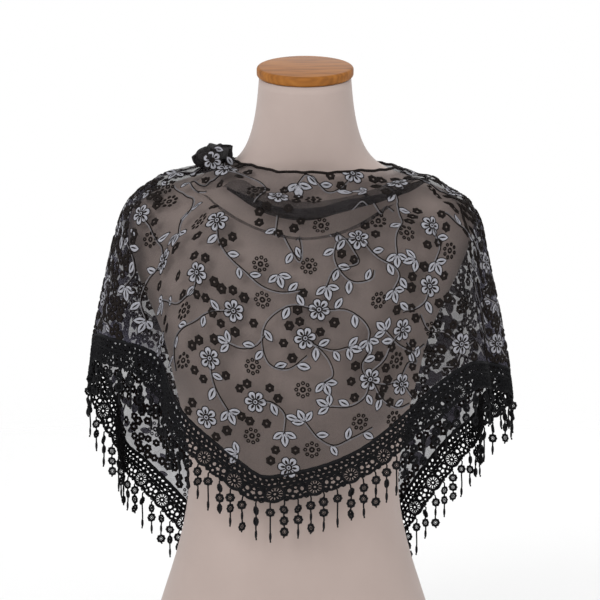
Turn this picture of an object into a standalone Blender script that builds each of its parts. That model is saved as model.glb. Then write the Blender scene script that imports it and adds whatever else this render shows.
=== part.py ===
"""A triangular lace shawl draped over a tabletop dress form.

Frame: +Z up, the form stands on Z = 0 and faces -Y, the viewer's right is +X.
All driving sizes are in millimetres; MM turns them into Blender's metres.
"""

import math
from bisect import bisect_right
from collections import namedtuple
from functools import lru_cache

import bmesh
import bpy
from mathutils import Vector

MM = 0.001

# Dress form
FORM_SIDES = 26
CAP_GAP = 0.3
CAP_THICK = 11.0
CAP_OVERHANG = 2.2
CAP_ROUND = 4.0
NECK_TILT = 16.0
FORM_EXPONENT = 0.92

# Shawl cloth, lace band and fringe
CLOTH_WALL = 1.2
BAND_WALL = 1.6
SEAM_GAP = 0.3
BAND_OUT = 0.2
BAND_PITCH = 18.5
CELL_CORNER = 2.6
STRIP_OUT = 0.1
FLORET_WIDE = 9.6
STRIP_THICK = 1.6
THREAD = 1.4
STRAND_RUN = 12.5
STRAND_MARGIN = 4.0
STRAND_SKIP = 8.0
STRIP_SHORT = 1.0
HEM_WINDOW = 34.0
STATION_STEP = 21.0
TIP_RUN = 55.0
CLOTH_PITCH = 24.0
FRONT_TURN = 60.0
SIDE_TURN = 112.0
RAW_EDGE_TOP = 98.0

# The cloth's rows: levels down to the chest, then even steps to the hem. In a tail its columns
# follow the folds, whose turns from the front are given, up to the raw edge.
UPPER_ROWS = [0, 0.45, 0.9, 1.3, 1.7, 2.1, 2.5, 2.9, 3.3, 3.8, 4.4, 5.0]
LOWER_ROWS = 6
TAIL_TURNS = [118, 126.5, 134.5, 143.5, 151, 158.5, 167]
TURN_ROOM = 2.0
TIP_TURN = 1.8
TIP_LEVEL = 12.6

# The gathered knot on the left shoulder: where its middle is, its reach down the cloth and round
# the figure, its height and its ruffles.
KNOT_ANGLE = -72.0
KNOT_LEVEL = 0.9
KNOT_REACH_DOWN = 18.0
KNOT_REACH_ROUND = 17.0
KNOT_HEIGHT = 16.0
KNOT_RUFFLES = 7
KNOT_SIDES = 28
KNOT_CLEAR = 1.0

# Rings of the knot, from the cloth up: how much of its reach, and how much of its height.
KnotRing = namedtuple("KnotRing", "reach height")
KNOT = [
    KnotRing(0.4, 0.0),
    KnotRing(0.82, 0.0),
    KnotRing(1.0, 0.3),
    KnotRing(0.96, 0.62),
    KnotRing(0.66, 0.92),
    KnotRing(0.25, 1.0),
]

# The lace band, in distances down from the net's hem: under the cord, the two rows of cells,
# the arches of its scalloped edge and the feet between them; then the fringe's narrow strip.
BandLine = namedtuple("BandLine", "name down")
BAND_LINES = [
    BandLine("edge", 0.35),
    BandLine("cord", 3.0),
    BandLine("upper", 9.8),
    BandLine("middle", 16.8),
    BandLine("arch", 21.0),
    BandLine("lower", 25.8),
    BandLine("foot", 29.0),
    BandLine("strip", 29.9),
    BandLine("strip_end", 31.4),
]
DOWN = {line.name: line.down for line in BAND_LINES}

# The strands of the fringe, one after another: bare thread, then florets or a long drop, each
# with its length, width and the thread that follows it.
Strand = namedtuple("Strand", "thread first gap second wide tail")
STRANDS = [
    Strand(9.0, 10.0, 2.6, 10.0, 9.6, 9.0),
    Strand(7.5, 10.0, 3.0, 15.0, 8.6, 4.0),
    Strand(11.5, 10.0, 2.6, 10.0, 9.6, 4.0),
    Strand(8.0, 10.0, 2.2, 10.0, 9.6, 13.0),
    Strand(10.0, 10.0, 4.0, 16.0, 7.0, 3.0),
]

# Height, half width, depth to the front and to the back, how far the ring's middle is forward
# and to the side, and how far the ring leans forward, from the base up to the neck.
Section = namedtuple("Section", "z half front back forward side lean")
FORM = [
    Section(0, 150, 92, 104, 0, -13, 0),
    Section(14, 156, 97, 109, 0, -13, 0),
    Section(60, 163, 101, 114, 0, -13, 0),
    Section(115, 158, 99, 108, 0, -13, 0),
    Section(185, 131, 88, 92, 0, -13, 0),
    Section(257, 116, 83, 82, 0, -13, 0),
    Section(300, 119, 88, 84, 0, -12, 0),
    Section(344, 126, 99, 88, 0, -11, 0),
    Section(395, 139, 113, 94, 0, -10, 0),
    Section(440, 149, 118, 98, 0, -10, 0),
    Section(485, 172, 110, 101, 0, -9, 0),
    Section(525, 188, 94, 98, 0, -7, 0),
    Section(548, 193, 82, 91, 0, -5, 0),
    Section(564, 193, 75, 85, 0, -4, 0),
    Section(580, 183, 69, 78, 0, -5, 0),
    Section(592, 163, 65, 73, 0, -5, 1),
    Section(604, 138, 60, 66, 2, -4, 2),
    Section(614, 95, 55, 57, 5, -1, 5),
    Section(630, 71, 52, 49, 11, 0, 8),
    Section(652, 60, 51, 46, 21, 0, 11),
    Section(682, 53, 49, 45, 32, 0, 14),
    Section(717, 50, 48, 45, 43, 0, NECK_TILT),
]

# Where the cloth passes the left side, right side, front and back of the figure, from the
# neckline down over the shoulders to below the tails.
Level = namedtuple("Level", "left_x left_z right_x right_z front_y front_z back_y back_z")
LEVELS = [
    Level(80, 627, 104, 618, 76, 614, 66, 630),
    Level(102, 622, 122, 612, 82, 596, 80, 619),
    Level(130, 616, 143, 604, 90, 574, 92, 604),
    Level(160, 607, 164, 593, 99, 550, 100, 585),
    Level(184, 593, 183, 579, 108, 524, 106, 562),
    Level(200, 573, 195, 557, 118, 496, 110, 532),
    Level(209, 545, 200, 527, 124, 464, 114, 500),
    Level(216, 508, 206, 490, 127, 430, 118, 462),
    Level(224, 462, 213, 448, 126, 393, 123, 420),
    Level(232, 415, 220, 405, 123, 354, 128, 375),
    Level(237, 362, 226, 358, 119, 310, 132, 325),
    Level(238, 302, 229, 300, 116, 262, 135, 270),
    Level(238, 225, 230, 225, 114, 200, 137, 200),
    Level(238, 40, 230, 40, 112, 40, 138, 40),
]

# Soft folds that hang from the shoulders: direction they lie in, half width, how far they stand
# out (a trough is negative), and the levels where each one starts and is full.
Fold = namedtuple("Fold", "angle spread height start full")
FOLDS = [
    Fold(-158, 7, 8, 4, 8),
    Fold(-143, 7, -9, 4, 9),
    Fold(-126, 8, 9, 4, 9),
    Fold(-110, 7, -10, 4, 9),
    Fold(-92, 8, 6, 5, 9),
    Fold(-72, 8, 4, 4, 9),
    Fold(-49, 9, -27, 4, 9),
    Fold(-27, 10, 3, 6, 10),
    Fold(9, 12, 4, 6, 10),
    Fold(37, 9, -15, 4, 9),
    Fold(56, 8, 5, 4, 9),
    Fold(72, 6, -9, 5, 9),
    Fold(90, 8, 6, 5, 9),
    Fold(110, 7, -11, 4, 9),
    Fold(127, 8, 8, 4, 9),
    Fold(144, 7, -8, 4, 9),
    Fold(159, 7, 7, 4, 8),
]

# The swags of the neckline, across the chest from the left shoulder to the right: the level each
# one passes at the left side, the front and the right side, its half width in levels, its height.
Swag = namedtuple("Swag", "left front right spread height")
SWAGS = [
    Swag(0.2, 1.2, 1.0, 0.42, -4.0),
    Swag(0.8, 2.1, 1.9, 0.66, 12.0),
    Swag(1.7, 2.95, 2.9, 0.36, -4.0),
    Swag(2.5, 3.5, 3.6, 0.40, 6.0),
    Swag(3.3, 4.6, 4.6, 0.50, -3.0),
]

# Height of the net's hem in each direction round the figure: 0 is the front, - is the left.
Hem = namedtuple("Hem", "angle z")
HEM = [
    Hem(-180, 74),
    Hem(-176, 95),
    Hem(-166, 137),
    Hem(-155, 180),
    Hem(-144, 224),
    Hem(-137, 252),
    Hem(-130, 278),
    Hem(-121, 303),
    Hem(-111, 352),
    Hem(-104, 384),
    Hem(-97, 411),
    Hem(-89, 430),
    Hem(-78, 437),
    Hem(-62, 432),
    Hem(-52, 421),
    Hem(-46, 405),
    Hem(-40, 385),
    Hem(-33, 358),
    Hem(-25, 334),
    Hem(-18, 313),
    Hem(-10, 294),
    Hem(-4, 298),
    Hem(4, 306),
    Hem(14, 322),
    Hem(22, 341),
    Hem(28, 356),
    Hem(35, 370),
    Hem(42, 388),
    Hem(48, 402),
    Hem(56, 411),
    Hem(70, 406),
    Hem(86, 397),
    Hem(98, 383),
    Hem(110, 361),
    Hem(122, 334),
    Hem(133, 305),
    Hem(141, 272),
    Hem(147, 243),
    Hem(153, 210),
    Hem(160, 174),
    Hem(168, 134),
    Hem(176, 95),
    Hem(180, 76),
]

# The raw edges of the two tails: how far from the middle of the back, down from the shoulder.
Edge = namedtuple("Edge", "level x")
RAW_EDGE = [
    Edge(0, 77),
    Edge(1, 80),
    Edge(3, 76),
    Edge(6, 66),
    Edge(9, 48),
    Edge(12, 24),
    Edge(13, 16),
]

Finish = namedtuple("Finish", "colour roughness metallic alpha")
FINISHES = {
    "form cover": Finish((0.60, 0.53, 0.50), 0.55, 0.0, 1.0),
    "varnished wood": Finish((0.42, 0.20, 0.06), 0.25, 0.0, 1.0),
    "net": Finish((0.03, 0.03, 0.035), 0.8, 0.0, 0.6),
    "lace": Finish((0.006, 0.006, 0.007), 0.75, 0.0, 1.0),
}


def curve_through(places, values, at):
    """A smooth curve through the points of a table that doesn't overshoot them."""
    n = len(places)
    if at <= places[0]:
        return values[0]
    if at >= places[-1]:
        return values[-1]
    k = next(i for i in range(n - 1) if at <= places[i + 1])
    step = [places[i + 1] - places[i] for i in range(n - 1)]
    slope = [(values[i + 1] - values[i]) / step[i] for i in range(n - 1)]

    def tangent(i):
        if i == 0 or i == n - 1:
            return slope[0] if i == 0 else slope[-1]
        if slope[i - 1] * slope[i] <= 0:
            return 0.0
        return 2 * slope[i - 1] * slope[i] / (slope[i - 1] + slope[i])

    t = (at - places[k]) / step[k]
    a, b = tangent(k) * step[k], tangent(k + 1) * step[k]
    return (
        (2 * t**3 - 3 * t**2 + 1) * values[k]
        + (t**3 - 2 * t**2 + t) * a
        + (3 * t**2 - 2 * t**3) * values[k + 1]
        + (t**3 - t**2) * b
    )


def column(table, name, place, at):
    """The named column of a table, read smoothly between its rows."""
    places = [getattr(row, place) for row in table]
    return curve_through(places, [getattr(row, name) for row in table], at)


def ease(t):
    t = min(1.0, max(0.0, t))
    return t * t * (3 - 2 * t)


def level_at(w, name):
    return curve_through(list(range(len(LEVELS))), [getattr(row, name) for row in LEVELS], w)


def fold_height(angle, w):
    total = 0.0
    for fold in FOLDS:
        grown = ease((w - fold.start) / (fold.full - fold.start))
        total += fold.height * grown * math.exp(-(((angle - fold.angle) / fold.spread) ** 2))
    across = math.cos(math.radians(max(-90.0, min(90.0, angle)))) ** 0.6
    turn = math.sin(math.radians(max(-90.0, min(90.0, angle))))
    for swag in SWAGS:
        side = swag.left if turn < 0 else swag.right
        middle = swag.front + (side - swag.front) * abs(turn) ** 1.6
        total += swag.height * across * math.exp(-(((w - middle) / swag.spread) ** 2))
    return total


def base_point(angle, w):
    """A point of the cloth without its folds."""
    s, c = math.sin(math.radians(angle)), math.cos(math.radians(angle))
    side = "left" if s < 0 else "right"
    end = "front" if c > 0 else "back"
    side_x, side_z = level_at(w, side + "_x"), level_at(w, side + "_z")
    end_y, end_z = level_at(w, end + "_y"), level_at(w, end + "_z")
    return Vector((side_x * s, -end_y * c, side_z + (end_z - side_z) * c * c))


@lru_cache(maxsize=None)
def base_frame(angle, w):
    """A point of the cloth without its folds, and the direction out of it."""
    step = 0.02
    place = base_point(angle, w)
    along = base_point(angle + 50 * step, w) - base_point(angle - 50 * step, w)
    down = base_point(angle, w + step) - base_point(angle, max(0.0, w - step))
    return place, down.cross(along).normalized()


def folded_point(angle, w):
    """A point of the draped cloth's outer face, in millimetres."""
    place, normal = base_frame(round(angle, 4), round(w, 5))
    return place + normal * fold_height(angle, w)


def cloth_point(angle, w, out=0.0):
    """A point of the draped cloth, moved out from its face by a given distance."""
    place = folded_point(angle, w)
    if out == 0.0:
        return place
    along = folded_point(angle + 0.5, w) - folded_point(angle - 0.5, w)
    down = folded_point(angle, w + 0.02) - folded_point(angle, max(0.0, w - 0.02))
    return place + down.cross(along).normalized() * out


def cloth_pair(angle, w):
    """The outer and inner point of the cloth's wall at one place."""
    return cloth_point(angle, w), cloth_point(angle, w, -CLOTH_WALL)


def level_of_height(angle, z):
    """The level at which the cloth passes a height, in one direction."""
    low, high = 0.0, len(LEVELS) - 1.0
    for _ in range(24):
        middle = (low + high) / 2
        if folded_point(angle, middle).z > z:
            low = middle
        else:
            high = middle
    return (low + high) / 2


def hem_level(angle):
    return level_of_height(angle, column(HEM, "z", "angle", angle))


def raw_angle(w, side):
    """The direction of a tail's raw edge at a level; side is -1 for the left and 1 for the right."""
    reach = level_at(w, "left_x" if side < 0 else "right_x")
    x = column(RAW_EDGE, "x", "level", w)
    turned = 180 - math.degrees(math.asin(min(0.995, x / reach)))
    return side * max(RAW_EDGE_TOP, turned)


def finish_of(name):
    material = bpy.data.materials.get(name)
    if material is None:
        finish = FINISHES[name]
        material = bpy.data.materials.new(name)
        material.use_nodes = True
        shader = material.node_tree.nodes["Principled BSDF"]
        shader.inputs["Base Color"].default_value = (*finish.colour, 1.0)
        shader.inputs["Roughness"].default_value = finish.roughness
        shader.inputs["Metallic"].default_value = finish.metallic
        shader.inputs["Alpha"].default_value = finish.alpha
    return material


def add_object(name, mesh_data, finish, smooth=True):
    """A named object from a bmesh whose points are in millimetres."""
    for vertex in mesh_data.verts:
        vertex.co *= MM
    mesh = bpy.data.meshes.new(name)
    mesh_data.to_mesh(mesh)
    mesh_data.free()
    item = bpy.data.objects.new(name, mesh)
    bpy.context.scene.collection.objects.link(item)
    mesh.materials.append(finish_of(finish))
    if smooth:
        mesh.shade_smooth()
        mesh.set_sharp_from_angle(angle=math.radians(40))
    return item


def walled(name, sheet, finish, smooth=True):
    """A closed solid from a sheet given as a list of (outer, inner) points and its faces."""
    points, faces = sheet
    mesh_data = bmesh.new()
    outer = [mesh_data.verts.new(pair[0]) for pair in points]
    inner = [mesh_data.verts.new(pair[1]) for pair in points]
    edges = set()
    for face in faces:
        mesh_data.faces.new([outer[k] for k in face])
        mesh_data.faces.new([inner[k] for k in reversed(face)])
        edges.update(zip(face, face[1:] + face[:1]))
    for a, b in edges:
        if (b, a) not in edges:
            mesh_data.faces.new((outer[b], outer[a], inner[a], inner[b]))
    bmesh.ops.recalc_face_normals(mesh_data, faces=mesh_data.faces)
    add_object(name, mesh_data, finish, smooth)


def form_ring(section):
    """One ring of the dress form, leaning forward as its neck does."""
    lean = math.radians(section.lean)
    ring = []
    for k in range(FORM_SIDES):
        turn = 2 * math.pi * k / FORM_SIDES
        s, c = math.sin(turn), math.cos(turn)
        depth = section.front if c > 0 else section.back
        x = section.half * math.copysign(abs(s) ** FORM_EXPONENT, s)
        y = -depth * math.copysign(abs(c) ** FORM_EXPONENT, c)
        rise = y * math.tan(lean)
        ring.append(Vector((x + section.side, y - section.forward, section.z + rise)))
    return ring


def bridge(mesh_data, rings):
    """Joins rings of points into a skin and returns the rings of vertices."""
    made = [[mesh_data.verts.new(point) for point in ring] for ring in rings]
    for lower, upper in zip(made, made[1:]):
        count = len(lower)
        for k in range(count):
            after = (k + 1) % count
            mesh_data.faces.new((lower[k], lower[after], upper[after], upper[k]))
    return made


def close_end(mesh_data, ring, top):
    mesh_data.faces.new(ring if top else ring[::-1])


def build_form():
    mesh_data = bmesh.new()
    rings = bridge(mesh_data, [form_ring(section) for section in FORM])
    close_end(mesh_data, rings[0], top=False)
    close_end(mesh_data, rings[-1], top=True)
    add_object("form_body", mesh_data, "form cover")


def build_cap():
    """The varnished wooden neck cap: a leaning disc with a rounded rim."""
    top = FORM[-1]
    lean = math.radians(top.lean)
    rows = [(-CAP_OVERHANG, 0.0), (0.0, CAP_ROUND * 0.35), (0.6, CAP_THICK * 0.5)]
    for k in range(1, 4):
        bend = math.radians(30 * k)
        inward = CAP_ROUND * (1 - math.cos(bend))
        rows.append((0.6 - inward, CAP_THICK - CAP_ROUND + CAP_ROUND * math.sin(bend)))
    rings = []
    for grown, height in rows:
        ring = []
        for point in form_ring(top):
            middle = Vector((top.side, -top.forward, top.z))
            spoke = (point - middle) * (1 + (CAP_OVERHANG + grown) / top.half)
            lift = Vector((0, -math.sin(lean), math.cos(lean))) * (height + CAP_GAP)
            ring.append(middle + spoke + lift)
        rings.append(ring)
    mesh_data = bmesh.new()
    made = bridge(mesh_data, rings)
    close_end(mesh_data, made[0], top=False)
    close_end(mesh_data, made[-1], top=True)
    add_object("neck_cap", mesh_data, "varnished wood")


def sheet_of(rows):
    """A sheet from rows of (outer, inner) points, each row running from left to right."""
    wide = len(rows[0])
    faces = []
    for r in range(len(rows) - 1):
        for k in range(wide - 1):
            a, b = r * wide + k, (r + 1) * wide + k
            faces.append([a, b, b + 1, a + 1])
    return [pair for row in rows for pair in row], faces


def seam_gap(w):
    """Half of a seam's gap, as a turn in degrees."""
    return math.degrees(0.5 * SEAM_GAP / level_at(w, "right_x")) + 0.01


def hem_table():
    """The hem unrolled: angle, run round the figure, height and length along it."""
    table = []
    run = length = 0.0
    before = None
    for step in range(-360, 361):
        angle = step / 2
        place = cloth_point(angle, hem_level(angle))
        if before is not None:
            across = math.hypot(place.x - before.x, place.y - before.y)
            run += across
            length += math.hypot(across, place.z - before.z)
        table.append((angle, run, place.z, length))
        before = place
    return table


HEM_TABLE = []


def look_up(column_in, column_out, value):
    """Reads one column of the unrolled hem at a value of another, straight past its ends."""
    keys = [row[column_in] for row in HEM_TABLE]
    k = min(len(keys) - 2, max(0, bisect_right(keys, value) - 1))
    share = (value - keys[k]) / (keys[k + 1] - keys[k])
    low, high = HEM_TABLE[k][column_out], HEM_TABLE[k + 1][column_out]
    return low + (high - low) * share


ANGLE, RUN, HEIGHT, LENGTH = range(4)


def border_point(length, down, out=0.0):
    """A point of the border: so far along the hem, so far down from it, square to the hem."""
    before, after = length - HEM_WINDOW, length + HEM_WINDOW
    run = look_up(LENGTH, RUN, length)
    height = look_up(LENGTH, HEIGHT, length)
    d_run = look_up(LENGTH, RUN, after) - look_up(LENGTH, RUN, before)
    d_height = look_up(LENGTH, HEIGHT, after) - look_up(LENGTH, HEIGHT, before)
    size = math.hypot(d_run, d_height)
    run += down * d_height / size
    height -= down * d_run / size
    angle = look_up(RUN, ANGLE, run)
    return cloth_point(angle, level_of_height(angle, height), out)


def tip_length(side):
    """Where the net's hem meets the raw edge at a tail's tip."""
    angle = raw_angle(TIP_LEVEL, side)
    return look_up(ANGLE, LENGTH, angle)


def lean_out(length, down, end, side):
    """Moves the border's last cells along, so that its end is flush with the raw edge."""
    near = ease(1 - abs(end - length) / TIP_RUN)
    slope = abs(
        (look_up(LENGTH, HEIGHT, end) - look_up(LENGTH, HEIGHT, end - side * HEM_WINDOW))
        / (look_up(LENGTH, RUN, end) - look_up(LENGTH, RUN, end - side * HEM_WINDOW))
    )
    return length + side * near * down * slope


def columns_between(first, last, pitch):
    """Angles of the cloth's columns, at even steps along the hem."""
    start, stop = look_up(ANGLE, LENGTH, first), look_up(ANGLE, LENGTH, last)
    count = max(2, round((stop - start) / pitch))
    return [look_up(LENGTH, ANGLE, start + (stop - start) * k / count) for k in range(count + 1)]


def panel_levels(hem):
    start = UPPER_ROWS[-1]
    lower = [start + (hem - start) * k / LOWER_ROWS for k in range(1, LOWER_ROWS + 1)]
    return UPPER_ROWS + lower


def build_panel(name, first, last):
    """A stretch of the cloth that hangs from the neckline to the hem."""
    angles = columns_between(first, last, CLOTH_PITCH)
    columns = [panel_levels(hem_level(angle)) for angle in angles]
    rows = []
    for k in range(len(columns[0])):
        row = []
        for angle, column_levels in zip(angles, columns):
            w = column_levels[k]
            turned = angle
            if angle == angles[0]:
                turned += seam_gap(w)
            if angle == angles[-1]:
                turned -= seam_gap(w)
            row.append(cloth_pair(turned, w))
        rows.append(row)
    walled(name, sheet_of(rows), "net")


def build_tail(name, side):
    """A tail: the end of the shawl, which hangs down the back from one shoulder."""
    seam = side * SIDE_TURN
    rows = [(SIDE_TURN, SIDE_TURN + seam_gap(w), w) for w in panel_levels(hem_level(seam))]
    start, stop = look_up(ANGLE, LENGTH, seam), tip_length(side)
    count = round(abs(stop - start) / CLOTH_PITCH)
    for k in range(1, count + 1):
        angle = look_up(LENGTH, ANGLE, start + (stop - start) * k / count)
        rows.append((abs(angle), abs(angle), hem_level(angle)))
    points, faces = [], []
    before = []
    for nominal, outer, w in rows:
        inner = max(abs(raw_angle(w, side)), outer + TIP_TURN)
        turns = [outer]
        turns += [turn for turn in TAIL_TURNS if nominal + TURN_ROOM < turn < inner - TURN_ROOM]
        turns.append(inner)
        row = []
        for turn in turns:
            row.append((turn, len(points)))
            points.append(cloth_pair(side * turn, w))
        if before:
            faces += zip_strip(before, row)
        before = row
    if side < 0:
        faces = [face[::-1] for face in faces]
    walled(name, (points, faces), "net")


def zip_strip(upper, lower):
    """Faces between two rows of (length, index) whose points don't line up."""
    faces = []
    i = j = 0
    while i < len(upper) - 1 or j < len(lower) - 1:
        go_upper = j == len(lower) - 1 or (
            i < len(upper) - 1 and upper[i + 1][0] <= lower[j + 1][0]
        )
        if go_upper:
            faces.append([upper[i][1], lower[j][1], upper[i + 1][1]])
            i += 1
        else:
            faces.append([upper[i][1], lower[j][1], lower[j + 1][1]])
            j += 1
    return faces


def border_place(at, down, out, ends, side):
    """A point of the border of one stretch, which is flush with the raw edge at a tail's tip."""
    if side < 0:
        at = lean_out(at, down, ends[0], -1)
    if side > 0:
        at = lean_out(at, down, ends[1], 1)
    return border_point(at, down, out)


def build_band(name, start, stop, cloth_lengths, side):
    """A stretch of the lace band: two rows of cells in brick pattern and a scalloped edge."""
    ends = (start, stop)
    start += SEAM_GAP / 2
    stop -= SEAM_GAP / 2
    count = max(3, round((stop - start) / BAND_PITCH))
    pitch = (stop - start) / count
    points, faces = [], []

    def pair(at, down):
        return [border_place(at, down, out, ends, side) for out in (BAND_OUT, BAND_OUT - BAND_WALL)]

    def add(pair_of_points):
        points.append(pair_of_points)
        return len(points) - 1

    def line(name_of_line, places):
        return {place: add(pair(start + pitch * place, DOWN[name_of_line])) for place in places}

    def top_pair(at):
        """Points just below the net's hem, on the straight line between the net's corners."""
        k = min(len(cloth_lengths) - 2, max(0, bisect_right(cloth_lengths, at) - 1))
        low, high = cloth_lengths[k], cloth_lengths[k + 1]
        share = (at - low) / (high - low)
        return [a.lerp(b, share) for a, b in zip(pair(low, DOWN["edge"]), pair(high, DOWN["edge"]))]

    def cell(corners):
        """A hole within four corners, inside bars of lace."""
        hole = [[], [], [], []]
        for layer in (0, 1):
            centre = sum((points[corner][layer] for corner in corners), Vector()) / 4
            for k, corner in enumerate(corners):
                spoke = points[corner][layer] - centre
                hole[k].append(centre + spoke * (1 - CELL_CORNER / spoke.length))
        rim = [add(pair_of_points) for pair_of_points in hole]
        for k in range(4):
            after = (k + 1) % 4
            faces.append([corners[k], corners[after], rim[after], rim[k]])

    inner = [at for at in cloth_lengths if start + 1 < at < stop - 1]
    top = [(at, add(top_pair(at))) for at in [start] + inner + [stop]]
    halves = [k + 0.5 for k in range(count)]
    wholes = list(range(count + 1))
    cord = line("cord", [0] + halves + [count])
    upper, lower, foot = (line(each, wholes) for each in ("upper", "lower", "foot"))
    middle, arch = line("middle", halves), line("arch", halves)
    faces += zip_strip(top, [(start + pitch * place, cord[place]) for place in sorted(cord)])
    for k in range(count):
        half = k + 0.5
        cell((cord[half], upper[k], middle[half], upper[k + 1]))
        faces.append([middle[half], lower[k], foot[k], arch[half]])
        faces.append([middle[half], arch[half], foot[k + 1], lower[k + 1]])
    for k in range(1, count):
        faces.append([cord[k - 0.5], upper[k], cord[k + 0.5]])
        cell((upper[k], middle[k - 0.5], lower[k], middle[k + 0.5]))
    faces.append([cord[0], upper[0], cord[0.5]])
    faces.append([cord[count - 0.5], upper[count], cord[count]])
    faces.append([upper[0], lower[0], middle[0.5]])
    faces.append([upper[count], middle[count - 0.5], lower[count]])
    walled(name, (points, faces), "lace", smooth=False)


def strand_places(start, stop, ends, side):
    """Where the strands of a stretch hang, far enough apart along the strip and level."""
    places, last = [], None
    at = start + STRAND_MARGIN
    while at < stop - STRAND_MARGIN:
        place = border_place(at, DOWN["strip"], 0.0, ends, side)
        apart = last is None or (
            (place - last).length >= BAND_PITCH - 1
            and math.hypot(place.x - last.x, place.y - last.y) >= STRAND_RUN
        )
        if apart:
            places.append(at)
            last = place
            at += STRAND_SKIP
        at += 1.0
    return places


def build_fringe(name, start, stop, side):
    """Strands of florets and drops that hang from a narrow strip under the lace band."""
    ends = (start, stop)
    start += STRIP_SHORT
    stop -= STRIP_SHORT
    half = THREAD / 2
    stations = [(start, False)]
    for place in strand_places(start, stop, ends, side):
        before = stations[-1][0]
        if place - before > STATION_STEP:
            stations.append(((place + before) / 2, False))
        stations += [(place - half, True), (place + half, False)]
    stations.append((stop, False))
    mesh_data = bmesh.new()
    rings = []
    for at, _ in stations:
        ring = []
        for line, out in (("strip", 0), ("strip", 1), ("strip_end", 1), ("strip_end", 0)):
            place = border_place(at, DOWN[line], STRIP_OUT - out * STRIP_THICK, ends, side)
            ring.append(mesh_data.verts.new(place))
        rings.append(ring)
    mesh_data.faces.new(rings[0][::-1])
    mesh_data.faces.new(rings[-1])
    hung = 0
    for (_, has_strand), ring, after in zip(stations, rings, rings[1:]):
        for k in range(4):
            if k == 2 and has_strand:
                root = [ring[3], ring[2], after[2], after[3]]
                hang_strand(mesh_data, root, STRANDS[hung % len(STRANDS)])
                hung += 1
                continue
            following = (k + 1) % 4
            mesh_data.faces.new((ring[k], ring[following], after[following], after[k]))
    bmesh.ops.recalc_face_normals(mesh_data, faces=mesh_data.faces)
    add_object(name, mesh_data, "lace", smooth=False)


def hang_strand(mesh_data, root, strand):
    """A strand from a quad of the strip straight down, as rings of four points."""
    middle = sum((corner.co for corner in root), Vector()) / 4
    across = (root[3].co + root[2].co - root[0].co - root[1].co) * 0.5
    across = Vector((across.x, across.y, 0)).normalized()
    through = Vector((across.y, -across.x, 0))
    if through.dot(root[0].co - root[1].co) < 0:
        through = -through
    half, thick = THREAD / 2, 0.8
    drop = strand.thread
    stages = [(drop, half)]
    for size, wide in ((strand.first, FLORET_WIDE), (strand.second, strand.wide)):
        stages.append((drop + size * 0.3, wide / 2))
        stages.append((drop + size * 0.7, wide / 2))
        drop += size + strand.gap
        if wide == FLORET_WIDE:
            stages.append((drop - strand.gap, half))
    rings = [root]
    for down, reach in stages:
        place = middle + Vector((0, 0, -down))
        corners = [(-reach, thick), (-reach, -thick), (reach, -thick), (reach, thick)]
        ring = [place + across * a + through * b for a, b in corners]
        rings.append([mesh_data.verts.new(corner) for corner in ring])
    for ring, after in zip(rings, rings[1:]):
        for k in range(4):
            following = (k + 1) % 4
            mesh_data.faces.new((ring[k], after[k], after[following], ring[following]))
    end = mesh_data.verts.new(middle + Vector((0, 0, -(drop - strand.gap + strand.tail))))
    for k in range(4):
        mesh_data.faces.new((rings[-1][k], end, rings[-1][(k + 1) % 4]))


def build_knot():
    """The knot in which the neck edge is gathered: a ruffled bunch that sits on the cloth."""
    centre = cloth_point(KNOT_ANGLE, KNOT_LEVEL)
    per_level = (cloth_point(KNOT_ANGLE, KNOT_LEVEL + 0.5) - centre).length / 0.5
    per_degree = (cloth_point(KNOT_ANGLE + 5, KNOT_LEVEL) - centre).length / 5
    rings = []
    for part_of_knot in KNOT:
        ring = []
        for k in range(KNOT_SIDES):
            turn = 2 * math.pi * k / KNOT_SIDES
            wave = 1 + 0.14 * math.sin(KNOT_RUFFLES * turn + 2.2 * part_of_knot.height)
            reach = part_of_knot.reach * wave
            w = KNOT_LEVEL + KNOT_REACH_DOWN * reach * math.cos(turn) / per_level
            angle = KNOT_ANGLE + KNOT_REACH_ROUND * reach * math.sin(turn) / per_degree
            rise = KNOT_HEIGHT * part_of_knot.height * (1 + 0.12 * math.sin(3 * turn))
            ring.append(cloth_point(angle, max(0.02, w), KNOT_CLEAR + rise))
        rings.append(ring)
    mesh_data = bmesh.new()
    made = bridge(mesh_data, rings)
    mesh_data.faces.new(made[0][::-1])
    mesh_data.faces.new(made[-1])
    bmesh.ops.recalc_face_normals(mesh_data, faces=mesh_data.faces)
    add_object("shoulder_gather", mesh_data, "lace")


def main():
    for item in list(bpy.data.objects):
        bpy.data.objects.remove(item)
    HEM_TABLE.extend(hem_table())
    build_form()
    build_cap()
    build_knot()
    build_tail("tail_left", -1)
    build_panel("shawl_left", -SIDE_TURN, -FRONT_TURN)
    build_panel("shawl_front", -FRONT_TURN, FRONT_TURN)
    build_panel("shawl_right", FRONT_TURN, SIDE_TURN)
    build_tail("tail_right", 1)
    marks = [tip_length(-1)]
    marks += [look_up(ANGLE, LENGTH, turn) for turn in (-SIDE_TURN, -FRONT_TURN)]
    marks += [look_up(ANGLE, LENGTH, turn) for turn in (FRONT_TURN, SIDE_TURN)]
    marks += [tip_length(1)]
    stretches = ["tail_left", "left", "front", "right", "tail_right"]
    for k, stretch in enumerate(stretches):
        start, stop = marks[k], marks[k + 1]
        count = max(2, round((stop - start) / CLOTH_PITCH))
        lengths = [start + (stop - start) * n / count for n in range(count + 1)]
        side = -1 if k == 0 else 1 if k == 4 else 0
        build_band("band_" + stretch, start, stop, lengths, side)
        build_fringe("fringe_" + stretch, start, stop, side)


main()
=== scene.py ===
"""The looks of a black lace shawl that hangs on a tabletop dress form.

Sizes are in millimetres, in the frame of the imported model; MM turns them into metres.
A place on the shawl is an angle round the figure (0 in front, minus to the left, 180 behind) and
a level, from 0 at the neck edge down to 13 below the tails.
"""

import math
from collections import namedtuple

import bpy
import numpy as np
from mathutils import Matrix, Vector


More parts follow.
